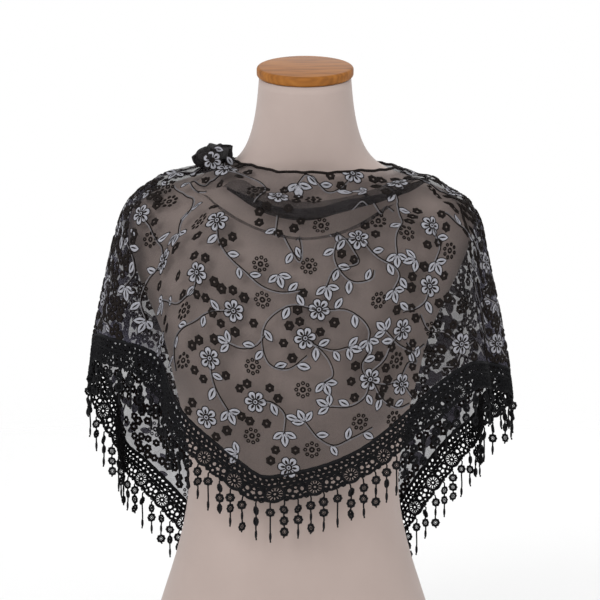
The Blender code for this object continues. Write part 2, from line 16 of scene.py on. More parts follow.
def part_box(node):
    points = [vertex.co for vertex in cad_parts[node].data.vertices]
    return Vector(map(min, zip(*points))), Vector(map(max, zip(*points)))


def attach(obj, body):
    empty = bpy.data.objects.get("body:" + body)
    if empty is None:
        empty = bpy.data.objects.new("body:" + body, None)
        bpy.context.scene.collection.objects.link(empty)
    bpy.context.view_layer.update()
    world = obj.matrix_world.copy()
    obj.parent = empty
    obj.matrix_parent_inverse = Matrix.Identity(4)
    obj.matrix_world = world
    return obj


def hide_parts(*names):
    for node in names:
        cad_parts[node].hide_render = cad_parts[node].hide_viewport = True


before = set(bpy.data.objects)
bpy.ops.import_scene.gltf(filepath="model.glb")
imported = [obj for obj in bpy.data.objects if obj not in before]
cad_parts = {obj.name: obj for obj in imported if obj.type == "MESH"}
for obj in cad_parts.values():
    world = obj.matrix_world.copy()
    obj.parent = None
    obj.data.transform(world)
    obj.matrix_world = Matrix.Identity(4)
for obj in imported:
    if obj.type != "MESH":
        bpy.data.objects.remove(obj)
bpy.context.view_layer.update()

MM = 0.001

# The camera, as far away and as high as the photograph's, and the photograph's frame.
CAMERA_TARGET = (-5.5, 0.0, 471.0)
CAMERA_DISTANCE = 2200.0
CAMERA_RISE = 5.0
CAMERA_LENS = 119.0
SENSOR = 36.0
FRAME_SIDE = 600.0

# Where the cloth passes the left side, right side, front and back, level by level.
Level = namedtuple("Level", "left_x left_z right_x right_z front_y front_z back_y back_z")
LEVELS = [
    Level(80, 627, 104, 618, 76, 614, 66, 630),
    Level(102, 622, 122, 612, 82, 596, 80, 619),
    Level(130, 616, 143, 604, 90, 574, 92, 604),
    Level(160, 607, 164, 593, 99, 550, 100, 585),
    Level(184, 593, 183, 579, 108, 524, 106, 562),
    Level(200, 573, 195, 557, 118, 496, 110, 532),
    Level(209, 545, 200, 527, 124, 464, 114, 500),
    Level(216, 508, 206, 490, 127, 430, 118, 462),
    Level(224, 462, 213, 448, 126, 393, 123, 420),
    Level(232, 415, 220, 405, 123, 354, 128, 375),
    Level(237, 362, 226, 358, 119, 310, 132, 325),
    Level(238, 302, 229, 300, 116, 262, 135, 270),
    Level(238, 225, 230, 225, 114, 200, 137, 200),
    Level(238, 40, 230, 40, 112, 40, 138, 40),
]

# Soft folds that hang from the shoulders: direction, half width in degrees, how far they stand
# out (a trough is negative), and the levels where each one starts and is full.
Fold = namedtuple("Fold", "angle spread height start full")
FOLDS = [
    Fold(-158, 7, 8, 4, 8),
    Fold(-143, 7, -9, 4, 9),
    Fold(-126, 8, 9, 4, 9),
    Fold(-110, 7, -10, 4, 9),
    Fold(-92, 8, 6, 5, 9),
    Fold(-72, 8, 4, 4, 9),
    Fold(-49, 9, -27, 4, 9),
    Fold(-27, 10, 3, 6, 10),
    Fold(9, 12, 4, 6, 10),
    Fold(37, 9, -15, 4, 9),
    Fold(56, 8, 5, 4, 9),
    Fold(72, 6, -9, 5, 9),
    Fold(90, 8, 6, 5, 9),
    Fold(110, 7, -11, 4, 9),
    Fold(127, 8, 8, 4, 9),
    Fold(144, 7, -8, 4, 9),
    Fold(159, 7, 7, 4, 8),
]

# The swags of the neckline: the level each one passes at the left side, the front and the right
# side, its half width in levels, and its height.
Swag = namedtuple("Swag", "left front right spread height")
SWAGS = [
    Swag(0.2, 1.2, 1.0, 0.42, -4.0),
    Swag(0.8, 2.1, 1.9, 0.66, 12.0),
    Swag(1.7, 2.95, 2.9, 0.36, -4.0),
    Swag(2.5, 3.5, 3.6, 0.40, 6.0),
    Swag(3.3, 4.6, 4.6, 0.50, -3.0),
]

# Folded-over rolls of the neckline, in which the net lies three times: the levels where each
# starts at the left, front and right, the levels of cloth it takes up and over what stretch, how
# far its outer layer stands off, and the angles between which it fades in and out.
Roll = namedtuple("Roll", "left front right takes stretch lift begins ends")
ROLLS = [
    Roll(1.2, 2.4, 1.5, 2.1, 1.5, 6.5, -54, 76),
    Roll(2.1, 3.3, 1.3, 0.55, 0.45, 2.4, -62, 50),
]
ROLL_FADE = 20.0
ROLL_BUILD = 1.3

# Soft creases, drawn from one place of the cloth to another with a slight bow: half width in
# millimetres and height (a trough is negative). The first ones spread from the gathered knot.
Crease = namedtuple("Crease", "angle level to_angle to_level bow spread height")
CREASES = [
    Crease(-70, 0.9, -62, 3.4, 4, 4.5, 3.6),
    Crease(-64, 1.0, -49, 3.6, 6, 4.5, 3.2),
    Crease(-60, 0.9, -36, 3.1, 9, 4.5, 2.8),
    Crease(-78, 1.1, -80, 4.0, 3, 5.0, 3.6),
    Crease(-86, 1.0, -97, 3.4, -5, 5.0, 3.0),
    Crease(-90, 0.9, -116, 2.6, -6, 5.0, 2.6),
    Crease(-66, 1.3, -55, 5.6, 8, 6.0, -2.4),
    Crease(-52, 3.6, -30, 6.4, 10, 7.0, 1.8),
    Crease(-40, 4.2, -24, 8.2, 8, 8.0, -1.8),
    Crease(-18, 4.1, -12, 8.6, -6, 9.0, 1.6),
    Crease(4, 4.3, 2, 7.4, 5, 8.0, -1.4),
    Crease(24, 4.0, 16, 8.0, 7, 9.0, 1.8),
    Crease(66, 1.6, 46, 5.4, 10, 7.0, -2.6),
    Crease(74, 2.0, 60, 6.4, 8, 7.0, 2.4),
    Crease(52, 3.2, 34, 7.2, 8, 8.0, 2.0),
    Crease(86, 2.2, 80, 7.0, 5, 7.0, -2.2),
    Crease(97, 2.4, 101, 8.0, -5, 7.0, 2.4),
    Crease(116, 2.6, 119, 8.6, 6, 8.0, -2.2),
    Crease(136, 2.8, 136, 9.6, -5, 8.0, 2.4),
    Crease(150, 4.4, 152, 10.2, 4, 6.0, -1.8),
    Crease(-84, 4.6, -83, 8.4, 5, 6.0, -2.2),
    Crease(-100, 3.4, -101, 8.6, -5, 7.0, 2.4),
    Crease(-118, 2.8, -118, 9.4, 6, 8.0, -2.4),
    Crease(-135, 3.0, -134, 9.8, -6, 8.0, 2.2),
    Crease(-150, 4.6, -151, 10.4, 4, 6.0, 1.8),
    Crease(-60, 6.2, -58, 9.0, 3, 5.0, 2.0),
    Crease(46, 6.4, 45, 9.2, -3, 5.0, 2.2),
    Crease(64, 6.6, 65, 9.0, 3, 5.0, -1.8),
]
DEGREE_RUN = 3.6
LEVEL_RUN = 42.0

# Height of the net's hem in each direction round the figure.
Hem = namedtuple("Hem", "angle z")
HEM = [
    Hem(-180, 74),
    Hem(-176, 95),
    Hem(-166, 137),
    Hem(-155, 180),
    Hem(-144, 224),
    Hem(-137, 252),
    Hem(-130, 278),
    Hem(-121, 303),
    Hem(-111, 352),
    Hem(-104, 384),
    Hem(-97, 411),
    Hem(-89, 430),
    Hem(-78, 437),
    Hem(-62, 432),
    Hem(-52, 421),
    Hem(-46, 405),
    Hem(-40, 385),
    Hem(-33, 358),
    Hem(-25, 334),
    Hem(-18, 313),
    Hem(-10, 294),
    Hem(-4, 298),
    Hem(4, 306),
    Hem(14, 322),
    Hem(22, 341),
    Hem(28, 356),
    Hem(35, 370),
    Hem(42, 388),
    Hem(48, 402),
    Hem(56, 411),
    Hem(70, 406),
    Hem(86, 397),
    Hem(98, 383),
    Hem(110, 361),
    Hem(122, 334),
    Hem(133, 305),
    Hem(141, 272),
    Hem(147, 243),
    Hem(153, 210),
    Hem(160, 174),
    Hem(168, 134),
    Hem(176, 95),
    Hem(180, 76),
]

# The raw edges of the two tails: how far from the middle of the back, down from the shoulder.
Edge = namedtuple("Edge", "level x")
RAW_EDGE = [
    Edge(0, 77),
    Edge(1, 80),
    Edge(3, 76),
    Edge(6, 66),
    Edge(9, 48),
    Edge(12, 24),
    Edge(13, 16),
]
RAW_EDGE_TOP = 98.0
SIDE_TURN = 112.0
FRONT_TURN = 60.0
TIP_TURN = 1.8
TIP_LEVEL = 12.6
HEM_WINDOW = 34.0
TIP_RUN = 55.0

randomly = np.random.default_rng(11)


def smooth_curve(places, values):
    """A function that reads the smooth curve through a table's points, without overshoot."""
    x, y = np.array(places, float), np.array(values, float)
    step = np.diff(x)
    slope = np.diff(y) / step
    tangent = np.zeros(len(x))
    tangent[0], tangent[-1] = slope[0], slope[-1]
    before, after = slope[:-1], slope[1:]
    same_way = before * after > 0
    both = np.where(same_way, before + after, 1.0)
    tangent[1:-1] = np.where(same_way, 2 * before * after / both, 0.0)

    def read(at):
        at = np.clip(at, x[0], x[-1])
        k = np.clip(np.searchsorted(x, at) - 1, 0, len(x) - 2)
        t = (at - x[k]) / step[k]
        a, b = tangent[k] * step[k], tangent[k + 1] * step[k]
        start = (2 * t**3 - 3 * t**2 + 1) * y[k] + (t**3 - 2 * t**2 + t) * a
        return start + (3 * t**2 - 2 * t**3) * y[k + 1] + (t**3 - t**2) * b

    return read


def column(table, name):
    return [getattr(row, name) for row in table]


def ease(t):
    t = np.clip(t, 0.0, 1.0)
    return t * t * (3 - 2 * t)


level_curves = {
    name: smooth_curve(range(len(LEVELS)), column(LEVELS, name)) for name in Level._fields
}
hem_height = smooth_curve(column(HEM, "angle"), column(HEM, "z"))
raw_reach = smooth_curve(column(RAW_EDGE, "level"), column(RAW_EDGE, "x"))


def unit(vectors):
    return vectors / np.maximum(np.linalg.norm(vectors, axis=-1, keepdims=True), 1e-9)


def across_front(angle, left, front, right):
    """A level that runs round the front like a necklace, and how much it lies in front."""
    turn = np.radians(np.clip(angle, -90, 90))
    side = np.where(turn < 0, left, right)
    return front + (side - front) * np.abs(np.sin(turn)) ** 1.6


def relief(angle, level):
    """How far folds, swags and creases stand out of the cloth at a place."""
    total = np.zeros(np.broadcast(angle, level).shape)
    for fold in FOLDS:
        grown = ease((level - fold.start) / (fold.full - fold.start))
        total += fold.height * grown * np.exp(-(((angle - fold.angle) / fold.spread) ** 2))
    in_front = np.cos(np.radians(np.clip(angle, -90, 90))) ** 0.6
    for swag in SWAGS:
        middle = across_front(angle, swag.left, swag.front, swag.right)
        total += swag.height * in_front * np.exp(-(((level - middle) / swag.spread) ** 2))
    x, y = angle * DEGREE_RUN, level * LEVEL_RUN
    for crease in CREASES:
        run = (crease.to_angle - crease.angle) * DEGREE_RUN
        drop = (crease.to_level - crease.level) * LEVEL_RUN
        size = math.hypot(run, drop)
        off_x, off_y = x - crease.angle * DEGREE_RUN, y - crease.level * LEVEL_RUN
        t = (off_x * run + off_y * drop) / size**2
        aside = (off_x * drop - off_y * run) / size + crease.bow * (1 - (2 * t - 1) ** 2)
        fade = ease(np.minimum(t, 1 - t) * 3.2 + 0.2)
        total += crease.height * fade * np.exp(-((aside / crease.spread) ** 2))
    return total


def plain_place(angle, level):
    """A place of the cloth without its folds."""
    turn = np.radians(angle)
    s, c = np.sin(turn), np.cos(turn)
    read = {name: curve(level) for name, curve in level_curves.items()}
    side_x = np.where(s < 0, read["left_x"], read["right_x"])
    side_z = np.where(s < 0, read["left_z"], read["right_z"])
    end_y = np.where(c > 0, read["front_y"], read["back_y"])
    end_z = np.where(c > 0, read["front_z"], read["back_z"])
    return np.stack([side_x * s, -end_y * c, side_z + (end_z - side_z) * c * c], axis=-1)


def stand_off(angle, level, lift):
    """A place of the cloth moved out of its plain shape by a given distance."""
    along = plain_place(angle + 1, level) - plain_place(angle - 1, level)
    down = plain_place(angle, level + 0.02) - plain_place(angle, np.maximum(level - 0.02, 0))
    normal = unit(np.cross(down, along))
    return plain_place(angle, level) + normal * np.asarray(lift)[..., None]


def hung_place(angle, level):
    """The outer face of the cloth, with its folds but without its rolls."""
    return stand_off(angle, level, relief(angle, level))


def draped_place(angle, run):
    """The outer face of the cloth; run counts levels of cloth, more than its rolls leave seen."""
    level, lift, used = run, 0.0, 0.0
    for roll in ROLLS:
        here = ease((angle - roll.begins) / ROLL_FADE) * ease((roll.ends - angle) / ROLL_FADE)
        start = across_front(angle, roll.left, roll.front, roll.right) + used
        fall = ease((run - start) / roll.stretch)
        level = level - roll.takes * here * fall
        build = ease((run - start + ROLL_BUILD) / ROLL_BUILD)
        lift = lift + roll.lift * here * build * (1 - fall)
        used = used + roll.takes * here
    level = np.maximum(level, 0.0)
    return stand_off(angle, level, relief(angle, level) + lift)


def taken_up(angle):
    """Levels of cloth that the rolls take up in one direction."""
    total = 0.0
    for roll in ROLLS:
        here = ease((angle - roll.begins) / ROLL_FADE) * ease((roll.ends - angle) / ROLL_FADE)
        total = total + roll.takes * here
    return total


GRID_TURN = 0.5
GRID_LEVEL = 0.04
LOWEST = len(LEVELS) - 1.0
ROLLED_LOWEST = LOWEST + sum(roll.takes for roll in ROLLS)


class Surface:
    """The outer face of the cloth, read from a fine grid of its places."""

    def __init__(self, place, lowest):
        angles = np.arange(-184, 184 + GRID_TURN, GRID_TURN)
        levels = np.arange(0, lowest + GRID_LEVEL, GRID_LEVEL)
        self.first = angles[0]
        grid = place(*np.meshgrid(angles, levels, indexing="ij"))
        normal = unit(np.cross(np.gradient(grid, axis=1), np.gradient(grid, axis=0)))
        self.places, self.normals = grid, normal

    def read(self, table, angle, level):
        angle, level = np.broadcast_arrays(angle, level)
        i = np.clip((angle - self.first) / GRID_TURN, 0, table.shape[0] - 1.001)
        j = np.clip(level / GRID_LEVEL, 0, table.shape[1] - 1.001)
        a, b = i.astype(int), j.astype(int)
        s, t = (i - a)[..., None], (j - b)[..., None]
        upper = table[a, b] * (1 - s) + table[a + 1, b] * s
        lower = table[a, b + 1] * (1 - s) + table[a + 1, b + 1] * s
        return upper * (1 - t) + lower * t

    def __call__(self, angle, level):
        return self.read(self.places, angle, level)

    def normal(self, angle, level):
        return unit(self.read(self.normals, angle, level))


hung = Surface(hung_place, LOWEST)
draped = Surface(draped_place, ROLLED_LOWEST)


def moved_out(surface, angle, level, out):
    """A place on a surface of the cloth, moved square out of its face."""
    return surface(angle, level) + surface.normal(angle, level) * np.asarray(out)[..., None]


def level_of_height(angle, z):
    heights = hung.places[..., 2:]
    low = np.zeros(np.broadcast(angle, z).shape)
    high = low + LOWEST
    for _ in range(16):
        middle = (low + high) / 2
        above = hung.read(heights, angle, middle)[..., 0] > z
        low, high = np.where(above, middle, low), np.where(above, high, middle)
    return (low + high) / 2


def raw_angle(level, side):
    """The direction of a tail's raw edge at a level; side is -1 for the left, 1 for the right."""
    reach = level_curves["left_x" if side < 0 else "right_x"](level)
    turned = 180 - np.degrees(np.arcsin(np.minimum(0.995, raw_reach(level) / reach)))
    return np.maximum(np.maximum(RAW_EDGE_TOP, turned), SIDE_TURN + TIP_TURN)


hem_angles = np.linspace(-180, 180, 721)
hem_levels = level_of_height(hem_angles, hem_height(hem_angles))
hem_places = hung(hem_angles, hem_levels)
hem_steps = np.diff(hem_places, axis=0)
hem_run = np.concatenate([[0], np.cumsum(np.hypot(hem_steps[:, 0], hem_steps[:, 1]))])
hem_length = np.concatenate([[0], np.cumsum(np.linalg.norm(hem_steps, axis=1))])


def hem_level(angle):
    return np.interp(angle, hem_angles, hem_levels)


def look_up(keys, values, at):
    """Reads one column of the unrolled hem at a value of another, straight past its ends."""
    k = np.clip(np.searchsorted(keys, at, side="right") - 1, 0, len(keys) - 2)
    share = (at - keys[k]) / (keys[k + 1] - keys[k])
    return values[k] + (values[k + 1] - values[k]) * share


def length_at(angle):
    return float(look_up(hem_angles, hem_length, angle))


tips = {side: length_at(side * raw_angle(np.array(TIP_LEVEL), side)) for side in (-1, 1)}


def border_place(along, down, out):
    """A place of the border: so far along the hem, down from it and out of it."""
    for side, end in tips.items():
        near = ease(1 - np.abs(end - along) / TIP_RUN)
        back = end - side * HEM_WINDOW
        rise = look_up(hem_length, hem_places[:, 2], end) - look_up(
            hem_length, hem_places[:, 2], back
        )
        run = look_up(hem_length, hem_run, end) - look_up(hem_length, hem_run, back)
        along = along + side * near * down * abs(rise / run)
    before, after = along - HEM_WINDOW, along + HEM_WINDOW
    d_run = look_up(hem_length, hem_run, after) - look_up(hem_length, hem_run, before)
    d_height = look_up(hem_length, hem_places[:, 2], after)
    d_height = d_height - look_up(hem_length, hem_places[:, 2], before)
    size = np.hypot(d_run, d_height)
    run = look_up(hem_length, hem_run, along) + down * d_height / size
    height = look_up(hem_length, hem_places[:, 2], along) - down * d_run / size
    angle = look_up(hem_run, hem_angles, run)
    return moved_out(hung, angle, level_of_height(angle, height), out)


# Meshes


def tidy_selection():
    bpy.ops.object.select_all(action="DESELECT")


def add_piece(name, points, faces, material, uv=None, smooth=True):
    """A piece from points in millimetres that rides on the body; uv has a pair for each point."""
    mesh = bpy.data.meshes.new(name)
    mesh.from_pydata((np.asarray(points, float) * MM).tolist(), [], faces)
    if uv is not None:
        layer = mesh.uv_layers.new(name="UVMap")
        corners = np.empty(len(mesh.loops), int)
        mesh.loops.foreach_get("vertex_index", corners)
        layer.data.foreach_set("uv", np.asarray(uv, np.float32)[corners].ravel())
    mesh.materials.append(material)
    if smooth:
        mesh.shade_smooth()
    item = bpy.data.objects.new(name, mesh)
    bpy.context.scene.collection.objects.link(item)
    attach(item, "root")
    return item


Shape = namedtuple("Shape", "points faces uv")


def modelled(item):
    """Takes the selected model of a repeated shape as points, faces and stitch directions."""
    bpy.ops.object.transform_apply(location=True, rotation=True, scale=True)
    mesh = item.data
    points = np.array([vertex.co for vertex in mesh.vertices])
    faces = [list(face.vertices) for face in mesh.polygons]
    bpy.data.objects.remove(item)
    return Shape(points, faces, points[:, :2].copy())


def joined(shapes):
    points, faces, uv, count = [], [], [], 0
    for shape in shapes:
        points.append(shape.points)
        uv.append(shape.uv)
        faces += [[k + count for k in face] for face in shape.faces]
        count += len(shape.points)
    return Shape(np.concatenate(points), faces, np.concatenate(uv))


def ring_shape(x, y, wide, tall, thick, segments=8, sides=4, turn=0.0):
    """A ring of thread that lies flat: its middle, half width and half height, and its thread."""
    tidy_selection()
    bpy.ops.mesh.primitive_torus_add(
        major_segments=segments,
        minor_segments=sides,
        major_radius=1.0,
        minor_radius=0.2,
        location=(0, 0, 0),
    )
    item = bpy.context.object
    for vertex in item.data.vertices:
        flat = Vector((vertex.co.x, vertex.co.y, 0))
        spoke = flat.normalized()
        off = (flat.length - 1.0) / 0.2
        reach_x, reach_y = spoke.x * wide, spoke.y * tall
        level = vertex.co.z / 0.2
        vertex.co = Vector(
            (reach_x + spoke.x * off * thick, reach_y + spoke.y * off * thick, level * thick)
        )
    item.rotation_euler.z = turn
    item.location = (x, y, 0)
    item.select_set(True)
    bpy.context.view_layer.objects.active = item
    return modelled(item)


def tube(path, radius, sides, normal=None, twist=0.0):
    """Points and faces of a closed tube along a path; radius is one value or one a point."""
    path = np.asarray(path, float)
    ahead = unit(np.gradient(path, axis=0))
    if normal is None:
        normal = np.tile([0.0, 1.0, 0.0], (len(path), 1))
    across = unit(np.cross(ahead, normal))
    out = np.cross(across, ahead)
    radius = np.broadcast_to(radius, (len(path),))[:, None]
    rings = []
    for k in range(sides):
        turn = 2 * math.pi * k / sides + twist
        rings.append(path + radius * (across * math.cos(turn) + out * math.sin(turn)))
    points = np.stack(rings, axis=1).reshape(-1, 3)
    faces = []
    for r in range(len(path) - 1):
        for k in range(sides):
            after = (k + 1) % sides
            a, b = r * sides, (r + 1) * sides
            faces.append([a + k, b + k, b + after, a + after])
    faces.append(list(range(sides)))
    faces.append([len(points) - 1 - k for k in range(sides)])
    run = np.concatenate([[0], np.cumsum(np.linalg.norm(np.diff(path, axis=0), axis=1))])
    uv = np.stack([np.repeat(run, sides), np.tile(np.arange(sides), len(path)) * 0.5], axis=-1)
    return Shape(points, faces, uv)


def grid_faces(rows, columns, closed=False):
    faces = []
    for r in range(rows - 1):
        for k in range(columns if closed else columns - 1):
            after = (k + 1) % columns
            a, b = r * columns, (r + 1) * columns
            faces.append([a + k, b + k, b + after, a + after])
    return faces


# Materials


class Finish:
    """A material built from nodes, with a Principled shader at its end."""

    def __init__(self, name, roughness, gloss=0.5):
        self.material = bpy.data.materials.new(name)
        self.material.use_nodes = True
        self.tree = self.material.node_tree
        self.shader = self.tree.nodes["Principled BSDF"]
        self.shader.inputs["Roughness"].default_value = roughness
        self.shader.inputs["Specular IOR Level"].default_value = gloss

    def set(self, name, value):
        self.shader.inputs[name].default_value = value

    def node(self, kind, links=(), **values):
        """Adds a node; links are (socket, source) pairs, values its properties."""
        made = self.tree.nodes.new(kind)
        for name, value in values.items():
            setattr(made, name, value)
        for socket, source in links:
            if hasattr(source, "is_output"):
                self.tree.links.new(source, made.inputs[socket])
            else:
                made.inputs[socket].default_value = source
        return made

    def coordinates(self, scale, source="Object"):
        coordinate = self.node("ShaderNodeTexCoord").outputs[source]
        mapping = self.node("ShaderNodeMapping", [("Vector", coordinate), ("Scale", scale)])
        return mapping.outputs["Vector"]

    def noise(self, vector, scale, detail=3.0):
        links = [("Vector", vector), ("Scale", scale), ("Detail", detail)]
        return self.node("ShaderNodeTexNoise", links).outputs["Fac"]

    def ramp(self, value, stops):
        """Colours over a value; stops are (position, colour) pairs."""
        made = self.node("ShaderNodeValToRGB", [("Fac", value)])
        elements = made.color_ramp.elements
        while len(elements) < len(stops):
            elements.new(0.5)
        for element, (position, colour) in zip(elements, stops):
            element.position = position
            element.color = (*colour, 1.0)
        return made.outputs["Color"]

    def join(self, name, source):
        self.tree.links.new(source, self.shader.inputs[name])

    def bump(self, height, strength, distance):
        links = [("Height", height), ("Strength", strength), ("Distance", distance)]
        self.join("Normal", self.node("ShaderNodeBump", links).outputs["Normal"])


SHEER_REACH = 205.0
FOLDED_REACH = 265.0
THREAD_GLOSS = 0.12
NET_GLOSS = 0.1


def net_finish(name, front, sides, shade=1.0):
    """Sheer black net: fine threads round small holes, denser where it hangs in folds.

    Front and sides each give how much the threads cover and how much the holes do. Shade scales down the
    colour of the thin net: painted shade, used for the gathered net.
    """
    finish = Finish(name, 0.8, NET_GLOSS)
    cells = finish.coordinates((0.8, 0.8, 0.8), "UV")
    links = [("Vector", cells), ("Scale", 1.0), ("Randomness", 0.35)]
    edge = finish.node("ShaderNodeTexVoronoi", links, feature="DISTANCE_TO_EDGE")
    clouds = finish.noise(finish.coordinates((1, 1, 1)), 26.0)
    place = finish.node("ShaderNodeTexCoord").outputs["UV"]
    across = finish.node("ShaderNodeSeparateXYZ", [(0, place)]).outputs["X"]
    aside = finish.node("ShaderNodeMath", [(0, across)], operation="ABSOLUTE").outputs["Value"]
    share = finish.node(
        "ShaderNodeMapRange", [("Value", aside), (1, SHEER_REACH), (2, FOLDED_REACH), (3, 0), (4, 1)]
    ).outputs["Result"]
    covers = []
    for thread, hole in (front, sides):
        ranges = [("Value", edge.outputs["Distance"]), (1, 0.02), (2, 0.34), (3, thread), (4, hole)]
        covers.append(finish.node("ShaderNodeMapRange", ranges).outputs["Result"])
    mixed = finish.node("ShaderNodeMix", [(0, share), (2, covers[0]), (3, covers[1])])
    uneven = finish.node(
        "ShaderNodeMapRange", [("Value", clouds), (1, 0.3), (2, 0.7), (3, 0.86), (4, 1.14)]
    )
    links = [(0, mixed.outputs[0]), (1, uneven.outputs["Result"])]
    alpha = finish.node("ShaderNodeMath", links, operation="MULTIPLY", use_clamp=True)
    finish.join("Alpha", alpha.outputs["Value"])
    colours = [(0.3, (0.016, 0.014, 0.015)), (0.7, (0.034, 0.030, 0.031))]
    # shade darkens these colours; below 1 it is painted shade
    sheer = finish.ramp(clouds, [(at, tuple(shade * c for c in colour)) for at, colour in colours])
    folded = finish.ramp(clouds, [(0.3, (0.050, 0.048, 0.066)), (0.7, (0.086, 0.083, 0.108))])
    blend = finish.node("ShaderNodeMix", [(0, share)], data_type="RGBA")
    finish.tree.links.new(sheer, blend.inputs[6])
    finish.tree.links.new(folded, blend.inputs[7])
    finish.join("Base Color", blend.outputs[2])
    finish.bump(edge.outputs["Distance"], 0.3, 0.0003)
    return finish.material


def thread_finish(name, dark, light, roughness, stitch, sheen=0.0, depth=0.0002):
    """Embroidery thread: fine parallel stitches, painted lighter along each stitch and darker between
    them (painted sheen and painted shade), in uneven tone; stitch is their pitch.
    """
    finish = Finish(name, roughness, THREAD_GLOSS)
    along = finish.coordinates((1.0 / stitch, 1.0 / stitch, 1.0), "UV")
    links = [("Vector", along), ("Scale", 0.5), ("Distortion", 1.2), ("Detail", 2.0)]
    wave = finish.node("ShaderNodeTexWave", links, wave_type="BANDS", bands_direction="X")
    clouds = finish.noise(finish.coordinates((1, 1, 1)), 240.0)
    links = [(0, wave.outputs["Fac"]), (1, clouds)]
    shade = finish.node("ShaderNodeMath", links, operation="MULTIPLY_ADD")
    shade.inputs[2].default_value = 0.2
    # The ramp runs dark to light across each stitch band: painted shade between the stitches and painted
    # sheen along them, made uneven by the clouds.
    finish.join("Base Color", finish.ramp(shade.outputs["Value"], [(0.2, dark), (0.75, light)]))
    finish.set("Sheen Weight", sheen)
    finish.bump(wave.outputs["Fac"], 0.5, depth)
    return finish.material


def cover_finish():
    """The form's smooth matte jersey cover: a fine knit with soft mottling."""
    finish = Finish("jersey_cover", 0.62, 0.25)
    knit = finish.coordinates((700, 700, 700))
    links = [("Vector", knit), ("Scale", 1.0), ("Distortion", 0.6), ("Detail", 1.0)]
    rows = finish.node("ShaderNodeTexWave", links, wave_type="BANDS", bands_direction="Z")
    clouds = finish.noise(finish.coordinates((1, 1, 1)), 9.0, 5.0)
    colours = [(0.3, (0.362, 0.290, 0.262)), (0.7, (0.412, 0.332, 0.302))]
    finish.join("Base Color", finish.ramp(clouds, colours))
    finish.set("Sheen Weight", 0.12)
    finish.bump(rows.outputs["Fac"], 0.25, 0.0002)
    return finish.material


def wood_finish():
    """Turned wood with straight grain, under a gloss varnish."""
    finish = Finish("varnished_wood", 0.5, 0.12)
    grain = finish.coordinates((16, 90, 60))
    clouds = finish.noise(grain, 1.6, 6.0)
    links = [("Vector", grain), ("Scale", 0.9), ("Distortion", 5.0), ("Detail", 3.0)]
    rings = finish.node("ShaderNodeTexWave", links, wave_type="BANDS", bands_direction="Y")
    faint = finish.node("ShaderNodeMapRange", [("Value", rings.outputs["Fac"]), (3, 0.85), (4, 1.1)])
    links = [(0, clouds), (1, faint.outputs["Result"])]
    mixed = finish.node("ShaderNodeMath", links, operation="MULTIPLY_ADD")
    mixed.inputs[2].default_value = 0.1
    colours = [(0.25, (0.13, 0.045, 0.009)), (0.6, (0.27, 0.10, 0.018)), (0.95, (0.36, 0.145, 0.028))]
    finish.join("Base Color", finish.ramp(mixed.outputs["Value"], colours))
    finish.set("Coat Weight", 0.03)
    finish.set("Coat Roughness", 0.25)
    finish.bump(mixed.outputs["Value"], 0.12, 0.0003)
    return finish.material


finishes = {
    "net": net_finish("sheer_net", (0.53, 0.20), (0.80, 0.47)),
    # Gathered net: nearly opaque for its layers, and its colour darkened to 0.45 as painted shade inside
    # the roll and the knot.
    "gathered": net_finish("gathered_net_painted_shade", (0.97, 0.85), (0.97, 0.85), 0.45),
    "silver": thread_finish("silver_thread", (0.16, 0.16, 0.18), (0.42, 0.42, 0.46), 0.5, 0.9),
    "dark": thread_finish("dark_thread", (0.003, 0.002, 0.002), (0.016, 0.011, 0.009), 0.7, 0.8),
    "vine": thread_finish("vine_thread", (0.10, 0.095, 0.10), (0.24, 0.23, 0.245), 0.6, 0.9),
    "lace": thread_finish("lace_cotton", (0.002, 0.002, 0.003), (0.010, 0.010, 0.011), 0.75, 0.9),
    "cover": cover_finish(),
    "wood": wood_finish(),
}


# The dress form and its cap


FORM_ROUNDING = 2
FLAT_QUADS = 40.0
BASE_EDGE = 60.0
CAP_THICK = 11.0
CAP_HALF = 52.2
CAP_DEEP = 48.7
CAP_LEAN = 16.0
CAP_ROUND = 3.2


def build_form():
    """The torso: a copy of its solid, merged, made of four-sided faces and rounded."""
    tidy_selection()
    item = bpy.data.objects.new("form_torso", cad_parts["form_body"].data.copy())
    bpy.context.scene.collection.objects.link(item)
    item.select_set(True)
    bpy.context.view_layer.objects.active = item
    bpy.ops.object.mode_set(mode="EDIT")
    bpy.ops.mesh.select_all(action="SELECT")
    bpy.ops.mesh.remove_doubles(threshold=0.00002)
    bpy.ops.mesh.tris_convert_to_quads(
        face_threshold=math.radians(FLAT_QUADS), shape_threshold=math.radians(FLAT_QUADS)
    )
    bpy.ops.mesh.select_all(action="DESELECT")
    bpy.ops.mesh.select_mode(type="EDGE")
    bpy.ops.mesh.edges_select_sharp(sharpness=math.radians(BASE_EDGE))
    bpy.ops.transform.edge_crease(value=1.0)
    bpy.ops.object.mode_set(mode="OBJECT")
    rounding = item.modifiers.new("smooth jersey", "SUBSURF")
    rounding.levels = FORM_ROUNDING
    rounding.render_levels = FORM_ROUNDING
    bpy.ops.object.modifier_apply(modifier=rounding.name)
    bpy.ops.object.shade_smooth_by_angle(angle=math.radians(BASE_EDGE))
    item.data.materials.clear()
    item.data.materials.append(finishes["cover"])
    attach(item, "root")
    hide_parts("form_body")


